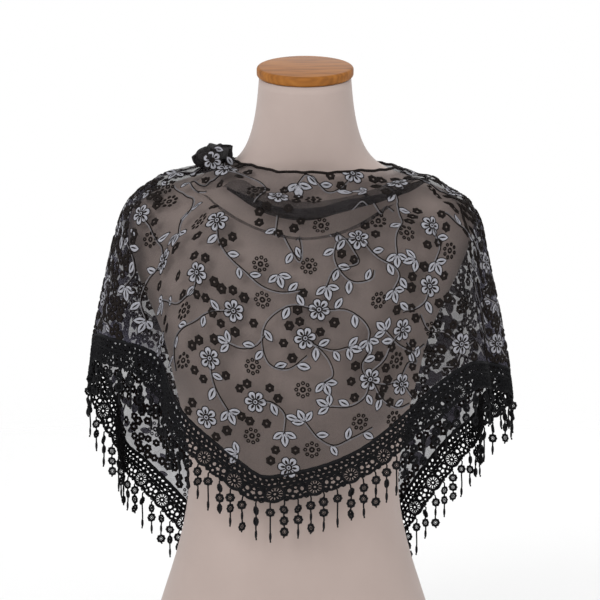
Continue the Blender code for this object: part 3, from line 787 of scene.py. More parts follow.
def build_cap():
    """The neck cap: a disc turned with a rounded rim, laid on the leaning neck."""
    tidy_selection()
    low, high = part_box("neck_cap")
    middle = (low + high) / 2
    bpy.ops.mesh.primitive_cylinder_add(
        vertices=96, radius=CAP_HALF * MM, depth=CAP_THICK * MM, location=middle
    )
    item = bpy.context.object
    item.name = "cap_disc"
    bpy.ops.object.transform_apply(location=True, rotation=True, scale=True)
    bpy.ops.object.mode_set(mode="EDIT")
    bpy.ops.mesh.select_all(action="SELECT")
    bpy.ops.transform.resize(value=(1, CAP_DEEP / CAP_HALF, 1), center_override=middle)
    bpy.ops.transform.rotate(
        value=-math.radians(CAP_LEAN), orient_axis="X", center_override=middle
    )
    bpy.ops.object.mode_set(mode="OBJECT")
    bevel = item.modifiers.new("round rim", "BEVEL")
    bevel.width = CAP_ROUND * MM
    bevel.segments = 5
    bevel.limit_method = "ANGLE"
    bpy.ops.object.modifier_apply(modifier=bevel.name)
    item.data.materials.clear()
    item.data.materials.append(finishes["wood"])
    bpy.ops.object.shade_smooth_by_angle(angle=math.radians(35))
    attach(item, "root")
    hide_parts("neck_cap")


# The net

UPPER_RUN = 7.0
UPPER_ROWS = 78
LOWER_ROWS = 42
MAIN_COLUMNS = 225
TAIL_COLUMNS = 34
TAIL_ROWS = 56


def cloth_runs(hem_run_levels):
    """Rows of the cloth in one column, from the neck edge to the hem."""
    upper = np.linspace(0, UPPER_RUN, UPPER_ROWS)[:, None]
    share = np.linspace(0, 1, LOWER_ROWS + 1)[1:, None]
    lower = UPPER_RUN + (hem_run_levels[None, :] - UPPER_RUN) * share
    return np.concatenate([np.broadcast_to(upper, (UPPER_ROWS, lower.shape[1])), lower])


def unrolled(points, angles):
    """Map coordinates of a grid of points in millimetres, from the middle of its columns."""
    across = np.linalg.norm(np.diff(points, axis=1), axis=-1)
    along = np.concatenate([np.zeros((len(points), 1)), np.cumsum(across, axis=1)], axis=1)
    along -= along[:, [int(np.argmin(np.abs(angles)))]]
    fall = np.linalg.norm(np.diff(points, axis=0), axis=-1)
    down = np.concatenate([np.zeros((1, points.shape[1])), np.cumsum(fall, axis=0)])
    return np.stack([along, down], axis=-1)


def tail_grid(side):
    """Angles and levels of a tail, from the side's column to the raw edge and down to the tip."""
    seam_hem = float(hem_level(np.array(side * SIDE_TURN)))
    upper = cloth_runs(np.array([seam_hem]))[:, 0]
    lower = np.linspace(seam_hem, TIP_LEVEL, TAIL_ROWS + 1)[1:]
    turns = np.linspace(SIDE_TURN, 178, 200)
    levels = hem_level(side * turns)
    outer = np.concatenate([np.full(len(upper), SIDE_TURN), np.interp(lower, levels, turns)])
    level = np.concatenate([upper, lower])
    inner = np.maximum(raw_angle(level, side), outer + TIP_TURN)
    share = np.linspace(0, 1, TAIL_COLUMNS)[None, :]
    angle = side * (outer[:, None] + (inner - outer)[:, None] * share)
    return angle, np.broadcast_to(level[:, None], angle.shape)


def build_net():
    """The whole net in one sheet: the part round the front and sides, and the two tails."""
    angles = np.linspace(-SIDE_TURN, SIDE_TURN, MAIN_COLUMNS)
    runs = cloth_runs(hem_level(angles) + taken_up(angles))
    points = draped(np.broadcast_to(angles, runs.shape), runs)
    parts = [(points, unrolled(points, angles))]
    for side in (-1, 1):
        angle, level = tail_grid(side)
        grid = draped(angle, level)
        uv = unrolled(grid, np.abs(angle[0]) - SIDE_TURN)
        uv[..., 0] = side * uv[..., 0] + side * 420
        if side < 0:
            grid, uv = grid[:, ::-1], uv[:, ::-1]
        parts.append((grid, uv))
    all_points, all_uv, faces, count = [], [], [], 0
    for grid, uv in parts:
        faces += [[k + count for k in face] for face in grid_faces(*grid.shape[:2])]
        all_points.append(grid.reshape(-1, 3))
        all_uv.append(uv.reshape(-1, 2))
        count += grid.shape[0] * grid.shape[1]
    points = np.concatenate(all_points)
    item = add_piece(
        "shawl_net", points, faces, finishes["net"], uv=np.concatenate(all_uv)
    )
    tidy_selection()
    item.select_set(True)
    bpy.context.view_layer.objects.active = item
    bpy.ops.object.mode_set(mode="EDIT")
    bpy.ops.mesh.select_all(action="SELECT")
    bpy.ops.mesh.remove_doubles(threshold=0.00005)
    bpy.ops.object.mode_set(mode="OBJECT")
    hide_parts("shawl_front", "shawl_left", "shawl_right", "tail_left", "tail_right")
    return item


# Embroidery: where the motifs of the front lie, as the camera sees them in its frame of 600 by
# 600, across from the left and down from the top, and how far each one is turned.

Motif = namedtuple("Motif", "across down turn")
FLOWERS = [
    Motif(278, 196, 10),
    Motif(278, 216, 35),
    Motif(217, 220, 5),
    Motif(141, 213, 20),
    Motif(197, 272, 28),
    Motif(233, 310, 0),
    Motif(318, 310, 15),
    Motif(306, 338, 40),
    Motif(209, 358, 22),
    Motif(371, 380, 8),
    Motif(256, 402, 32),
    Motif(207, 418, 12),
    Motif(288, 468, 25),
    Motif(358, 238, 38),
    Motif(432, 226, 18),
    Motif(430, 286, 5),
    Motif(398, 182, 30),
    Motif(352, 168, 12),
    Motif(163, 262, 33),
    Motif(160, 345, 15),
    Motif(402, 330, 24),
]
RING_CLUSTERS = [
    Motif(169, 201, 0),
    Motif(199, 222, 10),
    Motif(233, 210, 5),
    Motif(261, 263, 0),
    Motif(309, 266, 14),
    Motif(262, 299, 8),
    Motif(183, 310, 20),
    Motif(183, 361, 0),
    Motif(252, 366, 6),
    Motif(302, 390, 0),
    Motif(252, 436, 12),
    Motif(312, 450, 0),
    Motif(359, 421, 9),
    Motif(397, 361, 0),
    Motif(378, 300, 16),
    Motif(407, 233, 4),
    Motif(379, 221, 0),
    Motif(435, 192, 7),
    Motif(314, 199, 0),
    Motif(322, 226, 12),
    Motif(255, 190, 3),
    Motif(398, 423, 10),
    Motif(140, 290, 10),
    Motif(432, 330, 0),
    Motif(150, 240, 12),
    Motif(450, 250, 6),
]
SPRAYS = [
    Motif(179, 232, 180),
    Motif(352, 210, 180),
    Motif(397, 253, 170),
    Motif(278, 274, 200),
    Motif(327, 286, 190),
    Motif(394, 289, 190),
    Motif(229, 344, 80),
    Motif(368, 340, 185),
    Motif(386, 332, 40),
    Motif(403, 312, 60),
    Motif(349, 347, 250),
    Motif(325, 382, 200),
    Motif(330, 406, 60),
    Motif(229, 411, 210),
    Motif(284, 432, 185),
    Motif(306, 423, 30),
    Motif(162, 300, 110),
    Motif(161, 272, 140),
    Motif(239, 454, 80),
    Motif(297, 183, 190),
    Motif(366, 190, 60),
    Motif(417, 259, 100),
    Motif(146, 320, 150),
    Motif(436, 262, 200),
]

# Vines of the front, each through a few places.
VINES = [
    [(318, 310), (290, 305), (268, 320), (262, 345), (270, 365), (288, 369), (307, 356)],
    [(322, 310), (344, 309), (360, 318), (370, 332), (369, 343)],
    [(233, 310), (210, 312), (188, 324), (175, 338), (174, 356), (176, 372)],
    [(265, 335), (256, 346), (242, 348), (229, 344)],
    [(306, 338), (318, 347), (334, 351), (349, 347)],
    [(306, 338), (322, 352), (331, 364), (332, 376), (325, 382)],
    [(197, 272), (193, 290), (180, 302), (162, 300)],
    [(217, 220), (220, 240), (228, 256), (246, 272), (262, 286), (282, 292), (302, 290)],
    [(278, 216), (276, 232), (290, 250), (300, 262), (302, 250), (296, 240)],
    [(358, 238), (340, 240), (334, 256), (342, 274), (356, 282), (372, 278), (374, 270)],
    [(362, 240), (378, 256), (394, 266), (399, 276), (394, 289)],
    [(330, 234), (352, 246), (358, 262), (336, 270), (327, 286)],
    [(398, 182), (398, 200), (402, 220), (397, 236), (397, 253)],
    [(352, 210), (362, 200), (380, 212), (394, 212)],
    [(430, 286), (426, 302), (414, 310), (403, 312)],
    [(386, 332), (400, 346), (414, 352), (424, 344)],
    [(371, 380), (364, 396), (350, 406), (330, 406)],
    [(374, 384), (384, 400), (398, 408), (410, 404)],
    [(209, 358), (211, 376), (216, 392), (229, 411)],
    [(256, 402), (272, 402), (284, 414), (284, 432)],
    [(306, 423), (318, 438), (334, 446), (350, 440), (372, 428)],
    [(179, 232), (182, 220), (191, 208), (192, 198), (182, 192), (174, 185)],
    [(297, 183), (306, 174), (318, 182), (330, 192), (346, 184), (352, 170)],
    [(141, 213), (150, 226), (160, 246), (163, 262)],
    [(163, 262), (152, 276), (140, 300), (146, 320)],
    [(160, 345), (150, 360), (154, 380), (164, 394)],
    [(432, 226), (440, 244), (436, 262)],
    [(402, 330), (392, 344), (384, 360), (372, 372)],
]
LEAF_STEP = 21.0
FLORETS_ROUND = 7
FLORET_REACH = 22.0
FLOWER_ROOM = 12.0
SHARP_BEND = 0.55
FILL_TRIES = 19000
FILL_ROOM = 3.7
LEAF_MIDDLE = 8.0
LEAF_ROOM = 3.6

# The repeat of the sides and back, in millimetres from its flower: across and down.
REPEAT_WIDE = 96.0
REPEAT_TALL = 84.0
REPEAT_RINGS = [(46, -20), (-40, 36), (8, -40)]
REPEAT_SPRAYS = [((42, 40), 200), ((-44, -34), 60), ((-6, 44), 170)]
REPEAT_VINES = [
    [(6, 4), (22, 2), (40, 8), (50, 24), (42, 40)],
    [(-6, -4), (-20, -16), (-34, -16), (-44, -34)],
    [(0, 8), (-10, 22), (-22, 24), (-6, 44)],
]


def camera_axes():
    rise = math.radians(CAMERA_RISE)
    back = np.array([0.0, -math.cos(rise), math.sin(rise)])
    up = np.array([0.0, math.sin(rise), math.cos(rise)])
    return np.array(CAMERA_TARGET) + back * CAMERA_DISTANCE, -back, up


def seen(points):
    """Across, down and distance of points in the camera's frame."""
    eye, ahead, up = camera_axes()
    off = points - eye
    depth = off @ ahead
    scale = CAMERA_LENS / SENSOR * FRAME_SIDE / depth
    half = FRAME_SIDE / 2
    return half + off[..., 0] * scale, half - (off @ up) * scale, depth


class FrontMap:
    """Finds the place of the front of the cloth that the camera sees at a point of its frame."""

    def __init__(self):
        angles, runs = np.arange(-84, 84.1, 0.6), np.arange(0.15, 13.0, 0.04)
        self.angle, self.run = (g.ravel() for g in np.meshgrid(angles, runs, indexing="ij"))
        across, down, depth = seen(draped(self.angle, self.run))
        inside = self.run < hem_level(self.angle) + taken_up(self.angle) - 0.1
        self.across = np.where(inside, across, -1e6)
        self.down, self.depth = down, depth

    def find(self, across, down):
        off = (self.across - across) ** 2 + (self.down - down) ** 2
        near = off < max(1.5, off.min() + 0.3)
        k = np.flatnonzero(near)[np.argmin(self.depth[near])]
        return self.angle[k], self.run[k]


def local_size(angle, run):
    """Millimetres of cloth in a degree and in a level at a place."""
    per_degree = np.linalg.norm(draped(angle + 0.5, run) - draped(angle - 0.5, run), axis=-1)
    step = draped(angle, run + 0.03) - draped(angle, np.maximum(run - 0.03, 0))
    per_level = np.linalg.norm(step, axis=-1) / (run + 0.03 - np.maximum(run - 0.03, 0))
    return per_degree, np.maximum(per_level, 8.0)


def run_limit(angle):
    return hem_level(angle) + taken_up(angle)


def on_cloth(angle, run, room=3.0):
    """Whether a place lies on the cloth, a little in from its edges."""
    edge = 0.1
    if run < edge or run > run_limit(np.array(angle)) - edge:
        return False
    side = -1 if angle < 0 else 1
    inner = float(raw_angle(np.array(run), side))
    return abs(angle) < SIDE_TURN - 2 or abs(angle) < inner - room / 3.0


def laid(shape, spots, thickness=0.25):
    """Copies of a shape laid on the cloth; spots are (angle, run, turn, scale)."""
    if not spots:
        return Shape(np.zeros((0, 3)), [], np.zeros((0, 2)))
    spots = np.array(spots, float)
    angle, run, turn, scale = spots.T
    per_degree, per_level = local_size(angle, run)
    turn = np.radians(turn)[:, None]
    x = shape.points[None, :, 0] * scale[:, None]
    y = shape.points[None, :, 1] * scale[:, None]
    turned_x = x * np.cos(turn) - y * np.sin(turn)
    turned_y = x * np.sin(turn) + y * np.cos(turn)
    at_angle = angle[:, None] + turned_x / per_degree[:, None]
    at_run = np.maximum(run[:, None] - turned_y / per_level[:, None], 0.0)
    out = thickness + np.broadcast_to(shape.points[None, :, 2], at_angle.shape)
    points = moved_out(draped, at_angle, at_run, out).reshape(-1, 3)
    count = len(shape.points)
    faces = [[k + n * count for k in face] for n in range(len(spots)) for face in shape.faces]
    return Shape(points, faces, np.tile(shape.uv, (len(spots), 1)))


def lobed_disc(reach, lobes, depth, height):
    """A low domed disc with a lobed outline."""
    tidy_selection()
    bpy.ops.mesh.primitive_circle_add(vertices=lobes * 4, radius=reach, fill_type="NGON")
    item = bpy.context.object
    for vertex in item.data.vertices:
        turn = math.atan2(vertex.co.y, vertex.co.x)
        vertex.co *= 1 - depth * (0.5 - 0.5 * math.cos(lobes * turn))
    bpy.ops.object.mode_set(mode="EDIT")
    bpy.ops.mesh.select_all(action="SELECT")
    bpy.ops.mesh.inset(thickness=reach * 0.25, depth=height)
    bpy.ops.object.mode_set(mode="OBJECT")
    return modelled(item)


def flat_outline(path, width, height):
    """A flat closed cord round an outline given as points."""
    path = np.asarray(path, float)
    ahead = unit(np.roll(path, -1, axis=0) - np.roll(path, 1, axis=0))
    side = np.stack([ahead[:, 1], -ahead[:, 0]], axis=-1)
    inner = np.column_stack([path - side * width / 2, np.zeros(len(path))])
    crest = np.column_stack([path, np.full(len(path), height)])
    outer = np.column_stack([path + side * width / 2, np.zeros(len(path))])
    points = np.stack([inner, crest, outer], axis=1).reshape(-1, 3)
    faces = []
    for k in range(len(path)):
        after = (k + 1) % len(path)
        for row in (0, 1):
            faces.append([k * 3 + row, k * 3 + row + 1, after * 3 + row + 1, after * 3 + row])
    run = np.cumsum(np.linalg.norm(np.roll(path, -1, axis=0) - path, axis=1))
    uv = np.column_stack([np.repeat(run, 3), np.tile([0, 0.4, 0.8], len(path))])
    return Shape(points, faces, uv)


STITCH_SLOPE = 0.13
PETALS = 6
PETAL_START = 2.8
PETAL_LONG = 8.8
PETAL_WIDE = 9.4
PETAL_LINE = 1.3
SLOT_START = 3.0
SLOT_LONG = 6.0
SLOT_WIDE = 2.9


def petal_outline(count, grown):
    """The outline of one petal that points up, wider near its round end."""
    turn = np.linspace(0, 2 * math.pi, count, endpoint=False)
    swell = 0.80 - 0.20 * np.cos(turn)
    x = (PETAL_WIDE / 2 + grown) * np.sin(turn) * swell
    y = PETAL_START + PETAL_LONG / 2 - (PETAL_LONG / 2 + grown) * np.cos(turn)
    return np.column_stack([x, y])


def turned(shape, degrees):
    turn = math.radians(degrees)
    c, s = math.cos(turn), math.sin(turn)
    points = shape.points.copy()
    x, y = points[:, 0].copy(), points[:, 1].copy()
    points[:, 0], points[:, 1] = x * c - y * s, x * s + y * c
    return Shape(points, shape.faces, shape.uv)


def filled_outline(path, height, base=0.0):
    """A low cushion of satin stitch: a disc bent to an outline, with its middle raised."""
    tidy_selection()
    bpy.ops.mesh.primitive_circle_add(vertices=len(path), radius=1.0, fill_type="NGON")
    item = bpy.context.object
    for vertex, (x, y) in zip(item.data.vertices, path):
        vertex.co = (x, y, base)
    bpy.ops.object.mode_set(mode="EDIT")
    bpy.ops.mesh.select_all(action="SELECT")
    bpy.ops.mesh.normals_make_consistent(inside=False)
    bpy.ops.mesh.inset(thickness=np.ptp(path[:, 0]) * STITCH_SLOPE)
    middle = (*np.mean(path, axis=0), base)
    bpy.ops.transform.resize(value=(0.9, 0.95, 1), center_override=middle)
    bpy.ops.transform.translate(value=(0, 0, height))
    bpy.ops.object.mode_set(mode="OBJECT")
    shape = modelled(item)
    if facing_down(shape):
        return Shape(shape.points, [face[::-1] for face in shape.faces], shape.uv)
    return shape


def facing_down(shape):
    """Whether a flat shape's widest face looks down."""
    widest = max(shape.faces, key=len)
    x, y = shape.points[widest, 0], shape.points[widest, 1]
    return float(np.sum(x * np.roll(y, -1) - y * np.roll(x, -1))) < 0


def flower_shapes():
    """A flower's silver petals, each round a dark slot, with dark edges and a ringed middle."""
    petal = filled_outline(petal_outline(10, 0.0)[::-1], 0.45)
    line = flat_outline(petal_outline(10, 0.35), PETAL_LINE, 0.5)
    slot = leaf_outline(SLOT_LONG, SLOT_WIDE, 6) + [0, SLOT_START]
    slot = filled_outline(slot, 0.2, 0.42)
    petals = [turned(petal, 360 * k / PETALS) for k in range(PETALS)]
    lines = [turned(part, 360 * k / PETALS) for k in range(PETALS) for part in (line, slot)]
    eye = lobed_disc(4.0, 6, 0.14, 0.4)
    lines.append(Shape(eye.points + [0, 0, 0.35], eye.faces, eye.uv))
    return joined(petals), joined(lines)


def flower_eye():
    """The small silver ring in a flower's dark middle."""
    return ring_shape(0, 0, 1.7, 1.7, 0.6, 8, 4)


def leaf_outline(long, wide, count, grown=0.0):
    along = np.linspace(0, 1, count // 2 + 1)
    swell = np.sin(math.pi * along) ** 0.8 * (wide / 2 + grown)
    right = np.column_stack([swell, along * long])
    left = np.column_stack([-swell, along * long])[::-1]
    return np.concatenate([right, left[1:-1]])


def leaf_shapes(long=16.2, wide=8.2):
    """A silver leaf with a dark outline and a slit along its middle."""
    body = filled_outline(leaf_outline(long, wide, 12), 0.4)
    line = flat_outline(leaf_outline(long, wide, 14, 0.35), 1.15, 0.5)
    slit = filled_outline(leaf_outline(long * 0.6, 1.9, 8) + [0, long * 0.2], 0.2, 0.42)
    return body, joined([line, slit])


def spline(points, step):
    """A smooth path through places, with points about a step apart."""
    points = np.asarray(points, float)
    if len(points) < 3:
        middle = points.mean(axis=0)
        points = np.array([points[0], middle, points[-1]])
    gaps = np.linalg.norm(np.diff(points, axis=0), axis=1)
    at = np.concatenate([[0], np.cumsum(np.sqrt(gaps))])
    count = max(3, int(gaps.sum() / step))
    wanted = np.linspace(0, at[-1], count)
    extended = np.vstack([2 * points[0] - points[1], points, 2 * points[-1] - points[-2]])
    places = np.concatenate([[at[0] - (at[1] - at[0])], at, [at[-1] + (at[-1] - at[-2])]])
    out = np.empty((count, points.shape[1]))
    for n, t in enumerate(wanted):
        k = min(len(at) - 2, max(0, int(np.searchsorted(at, t, side="right")) - 1))
        t0, t1, t2, t3 = places[k : k + 4]
        p0, p1, p2, p3 = extended[k : k + 4]
        a1 = (t1 - t) / (t1 - t0) * p0 + (t - t0) / (t1 - t0) * p1
        a2 = (t2 - t) / (t2 - t1) * p1 + (t - t1) / (t2 - t1) * p2
        a3 = (t3 - t) / (t3 - t2) * p2 + (t - t2) / (t3 - t2) * p3
        b1 = (t2 - t) / (t2 - t0) * a1 + (t - t0) / (t2 - t0) * a2
        b2 = (t3 - t) / (t3 - t1) * a2 + (t - t1) / (t3 - t1) * a3
        out[n] = (t2 - t) / (t2 - t1) * b1 + (t - t1) / (t2 - t1) * b2
    return out


class Embroidery:
    """Collects where each motif goes, and keeps them clear of each other and on the cloth."""

    def __init__(self):
        self.flowers, self.florets, self.rings = [], [], []
        self.leaves, self.vines = [], []
        self.places, self.reaches = np.zeros((0, 3)), np.zeros(0)

    def room(self, angle, run, reach):
        """Whether nothing else lies within reach, in millimetres."""
        if not on_cloth(angle, run, max(3.0, reach * 0.8)):
            return False
        place = draped(np.array(angle), np.array(run))
        per_degree, per_level = local_size(np.array(angle), np.array(run))
        step = min(reach, 7.0)
        turns = [angle, angle, angle + step / per_degree, angle - step / per_degree]
        runs = [run + step / per_level, max(0.0, run - step / per_level), run, run]
        bend = draped.normal(np.array(turns), np.array(runs)) @ draped.normal(angle, run)
        if bend.min() < SHARP_BEND:
            return False
        gaps = np.linalg.norm(self.places - place, axis=1) - self.reaches
        if len(gaps) and gaps.min() < reach:
            return False
        self.places = np.vstack([self.places, place])
        self.reaches = np.append(self.reaches, reach)
        return True

    def leaf(self, angle, run, turn, size, check=True):
        """A leaf from its stem, if there is room round its middle."""
        spoke = math.radians(turn)
        reach = LEAF_MIDDLE * size
        middle = self.around(angle, run, -reach * math.sin(spoke), -reach * math.cos(spoke))
        if check and not self.room(*middle, LEAF_ROOM):
            return
        if not check:
            self.places = np.vstack([self.places, draped(*np.array(middle))])
            self.reaches = np.append(self.reaches, LEAF_ROOM)
        self.leaves.append((angle, run, turn, size))

    def around(self, angle, run, x, y):
        """The place so many millimetres across and down from another."""
        per_degree, per_level = local_size(np.array(angle), np.array(run))
        return float(angle + x / per_degree), float(max(0.0, run + y / per_level))

    def flower(self, angle, run, turn):
        if not self.room(angle, run, FLOWER_ROOM):
            return False
        self.flowers.append((angle, run, turn, 1.0))
        return True

    def florets_round(self, angle, run, turn):
        """Small dark flowers in an uneven ring round a flower."""
        for k in range(FLORETS_ROUND):
            for _ in range(4):
                spoke = math.radians(turn + 360 * k / FLORETS_ROUND + randomly.uniform(-20, 20))
                reach = FLORET_REACH * randomly.uniform(0.9, 1.15)
                at = self.around(angle, run, reach * math.sin(spoke), -reach * math.cos(spoke))
                if self.room(*at, 4.4):
                    self.florets.append((*at, randomly.uniform(0, 72), randomly.uniform(0.9, 1.1)))
                    break

    def ring_cluster(self, angle, run, turn):
        if self.room(angle, run, 9.5):
            self.rings.append((angle, run, turn, 1.0))

    def spray(self, angle, run, turn):
        """Three leaves that spread from the end of a vine."""
        if self.room(angle, run, 7.0):
            for spread in (-62, 0, 62):
                size = 1.0 if spread == 0 else 0.9
                self.leaf(angle, run, turn + spread, size, check=False)

    def vine(self, places):
        """A double stem through places, with single leaves on either side."""
        path = spline(np.array(places) * [DEGREE_RUN, LEVEL_RUN], 3.0) / [DEGREE_RUN, LEVEL_RUN]
        keep = [on_cloth(angle, run) for angle, run in path]
        if not all(keep):
            first = keep.index(False)
            path = path[:first]
        if len(path) < 5:
            return
        self.vines.append(path)
        points = draped(path[:, 0], path[:, 1])
        steps = np.linalg.norm(np.diff(points, axis=0), axis=1)
        length = np.concatenate([[0], np.cumsum(steps)])
        at, side = 14.0, 1 if randomly.random() < 0.5 else -1
        while at < length[-1] - 8:
            k = int(np.searchsorted(length, at))
            ahead = points[k] - points[k - 1]
            angle, run = path[k]
            east = draped(angle + 0.5, run) - draped(angle - 0.5, run)
            south = draped(angle, run + 0.02) - draped(angle, run - 0.02)
            east, south = unit(east), unit(south)
            heading = math.degrees(math.atan2(-(ahead @ east), -(ahead @ south)))
            turn = heading + side * randomly.uniform(-58, -38)
            self.leaf(angle, run, turn, randomly.uniform(0.85, 1.0))
            side = -side
            at += LEAF_STEP * randomly.uniform(0.75, 1.2)


# The gathered layers inside the neckline's roll, as the camera sees their two edges: a dark band of
# overlapped net that also paints the shade under the roll, with a crisp lower edge.
ROLL_TOP = [
    (227, 187),
    (245, 195),
    (262, 201),
    (283, 207),
    (316, 207),
    (347, 199),
    (386, 192),
    (412, 183),
    (432, 175),
]
ROLL_FOOT = [
    (226, 189),
    (240, 199),
    (263, 213),
    (289, 220),
    (312, 221),
    (349, 211),
    (389, 200),
    (412, 191),
    (432, 177),
]
ROLL_COLUMNS = 90
ROLL_ROWS = 9
ROLL_DEPTH = 0.9


def build_roll_layers_and_painted_shade(front):
    """The gathered net inside the neckline's roll, just behind its outer layer: a nearly opaque dark
    sheet that gives the overlapped layers and the painted shade under the roll.
    """
    eye, ahead, _ = camera_axes()
    share = np.linspace(0, 1, ROLL_COLUMNS)
    edges = []
    for line in (ROLL_TOP, ROLL_FOOT):
        path = spline(np.array(line, float), 1.0)
        at = np.linspace(0, 1, len(path))
        edges.append(np.stack([np.interp(share, at, path[:, k]) for k in (0, 1)], axis=-1))
    grid = np.empty((ROLL_ROWS, ROLL_COLUMNS, 3))
    for r in range(ROLL_ROWS):
        t = r / (ROLL_ROWS - 1)
        for k in range(ROLL_COLUMNS):
            across, down = edges[0][k] * (1 - t) + edges[1][k] * t
            grid[r, k] = draped(*front.find(across, down))
        for _ in range(4):
            grid[r, 1:-1] = (grid[r, :-2] + 2 * grid[r, 1:-1] + grid[r, 2:]) / 4
    rows = np.arange(ROLL_ROWS)[:, None]
    pleat = 0.7 * np.sin(rows * 2.4 + 3 * np.sin(share * 11)[None, :])
    grid += ahead * (ROLL_DEPTH + pleat)[..., None]
    faces = [face[::-1] for face in grid_faces(ROLL_ROWS, ROLL_COLUMNS)]
    uv = np.stack(np.broadcast_arrays(share[None, :] * 200, rows * 1.8), axis=-1)
    return add_piece(
        "roll_layers_and_painted_shade", grid.reshape(-1, 3), faces, finishes["gathered"], uv.reshape(-1, 2)
    )


def front_motifs(work, front):
    """The motifs that the front shows, where the camera sees them."""
    found = [(front.find(m.across, m.down), m) for m in FLOWERS]
    for (angle, run), motif in found:
        work.flower(angle, run, motif.turn)
    for motif in RING_CLUSTERS:
        work.ring_cluster(*front.find(motif.across, motif.down), motif.turn)
    for motif in SPRAYS:
        work.spray(*front.find(motif.across, motif.down), motif.turn)
    for vine in VINES:
        work.vine([front.find(*place) for place in vine])
    for (angle, run), motif in found:
        work.florets_round(angle, run, motif.turn)


def repeat_motifs(work):
    """The repeat of the sides and back, in columns down the cloth, each one turned a little."""
    columns = int(360 * DEGREE_RUN / REPEAT_WIDE / 2) + 1
    centres = []
    for place in range(-columns, columns + 1):
        angle = place * REPEAT_WIDE / DEGREE_RUN + randomly.uniform(-2, 2)
        if abs(angle) > 177:
            continue
        runs = np.linspace(0, run_limit(np.array(angle)), 300)
        steps = np.linalg.norm(np.diff(draped(angle, runs), axis=0), axis=1)
        fall = np.concatenate([[0], np.cumsum(steps)])
        down = 26.0 + REPEAT_TALL / 2 * (place % 2)
        while down < fall[-1]:
            at = angle + randomly.uniform(-2, 2), float(np.interp(down, fall, runs))
            turn = randomly.uniform(-25, 25) + 180 * (len(centres) % 2)
            if work.flower(*at, turn):
                centres.append((*at, turn))
            down += REPEAT_TALL + randomly.uniform(-6, 6)
    for angle, run, turn in centres:
        c, s = math.cos(math.radians(turn)), math.sin(math.radians(turn))

        def at(x, y):
            return work.around(angle, run, x * c - y * s, x * s + y * c)

        for spot in REPEAT_RINGS:
            work.ring_cluster(*at(*spot), turn)
        for spot, way in REPEAT_SPRAYS:
            work.spray(*at(*spot), way - turn)
        work.florets_round(angle, run, turn)
        for vine in REPEAT_VINES:
            work.vine([at(*spot) for spot in vine])


def fill_motifs(work):
    """Small dark flowers and leaves between the others where the cloth hangs in folds."""
    for _ in range(FILL_TRIES):
        side = randomly.choice([-1, 1])
        angle = side * randomly.uniform(*FILL_TURNS)
        low = float(run_limit(np.array(angle)))
        run = low - abs(randomly.normal(0, FILL_SPREAD)) - 0.1
        if run < FILL_TOP or not work.room(angle, run, FILL_ROOM):
            continue
        if randomly.random() < FILL_LEAVES:
            work.leaves.append((angle, run, randomly.uniform(0, 360), 0.75))
        else:
            work.florets.append((angle, run, randomly.uniform(0, 72), randomly.uniform(0.85, 1.1)))


FILL_TURNS = (63.0, 176.0)
FILL_SPREAD = 2.6
FILL_TOP = 3.0
FILL_LEAVES = 0.16
VINE_GAP = 1.5
VINE_THREAD = 0.74
CLUSTER_RINGS = 8
CLUSTER_REACH = 7.0


def vine_threads(paths, side):
    """One of the two thin threads that run side by side along each vine."""
    threads = []
    for path in paths:
        points = moved_out(draped, path[:, 0], path[:, 1], np.full(len(path), 0.45))
        normal = draped.normal(path[:, 0], path[:, 1])
        across = unit(np.cross(unit(np.gradient(points, axis=0)), normal))
        threads.append(tube(points + across * side * VINE_GAP / 2, VINE_THREAD, 3, normal))
    return joined(threads)


def ring_cluster_shape():
    rings = [ring_shape(0, 0, 2.2, 2.2, 1.15, 8, 4)]
    for k in range(CLUSTER_RINGS):
        turn = 2 * math.pi * k / CLUSTER_RINGS
        x, y = CLUSTER_REACH * math.cos(turn), CLUSTER_REACH * math.sin(turn)
        rings.append(ring_shape(x, y, 1.45, 1.45, 1.0, 6, 3))
    return joined(rings)


def floret_shape():
    """A small dark stitched flower with a lobed edge and a pinhole in its middle."""
    shape = ring_shape(0, 0, 3.2, 3.2, 2.15, 12, 4)
    wave = 1 + 0.10 * np.cos(6 * np.arctan2(shape.points[:, 1], shape.points[:, 0]))
    shape.points[:, :2] *= wave[:, None]
    shape.points[:, 2] *= 0.5
    return shape


def build_embroidery():
    work = Embroidery()
    front = FrontMap()
    front_motifs(work, front)
    repeat_motifs(work)
    fill_motifs(work)
    petals, lines = flower_shapes()
    leaf, leaf_line = leaf_shapes()
    parts = {
        "embroidered_petals": (laid(petals, work.flowers, 0.30), "silver"),
        "embroidered_leaves": (laid(leaf, work.leaves, 0.30), "silver"),
        "dark_outlines": (
            joined([laid(lines, work.flowers, 0.32), laid(leaf_line, work.leaves, 0.32)]),
            "dark",
        ),
        "flower_eyes": (laid(flower_eye(), work.flowers, 1.15), "silver"),
        "dark_florets": (laid(floret_shape(), work.florets, 0.28), "dark"),
        "dark_ring_clusters": (laid(ring_cluster_shape(), work.rings, 0.5), "dark"),
        "dark_stems": (vine_threads(work.vines, -1), "dark"),
        "pale_stems": (vine_threads(work.vines, 1), "vine"),
    }
    made = []
    for name, (shape, finish) in parts.items():
        made.append(
            add_piece(name, shape.points, shape.faces, finishes[finish], uv=shape.uv)
        )
    # the dark band inside the roll: overlapped net and painted shade
    made.append(build_roll_layers_and_painted_shade(front))
    return made


# The lace band: a repeat with two rows of cells, a row of slots, a wheel and a scalloped edge

REPEAT = 37.0
CORD_DOWN = 1.0
CORD_THICK = 1.8
CELL_ROWS = [(4.6, 0.0), (9.5, 0.5)]
CELLS = 6
SLOTS = 5
WHEEL_DOWN = 20.6
WHEEL_REACH = 8.4
WHEEL_PETALS = 12
EDGE_THREAD = 1.35


def loose_ring(x, y, wide, tall, thick, *more):
    """A ring of the band, not quite round or in line, as crocheted ones are."""
    x, y = x + randomly.uniform(-0.4, 0.4), y + randomly.uniform(-0.35, 0.35)
    wide, tall = wide * randomly.uniform(0.86, 1.12), tall * randomly.uniform(0.86, 1.12)
    return ring_shape(x, y, wide, tall, thick * randomly.uniform(0.9, 1.12), *more)


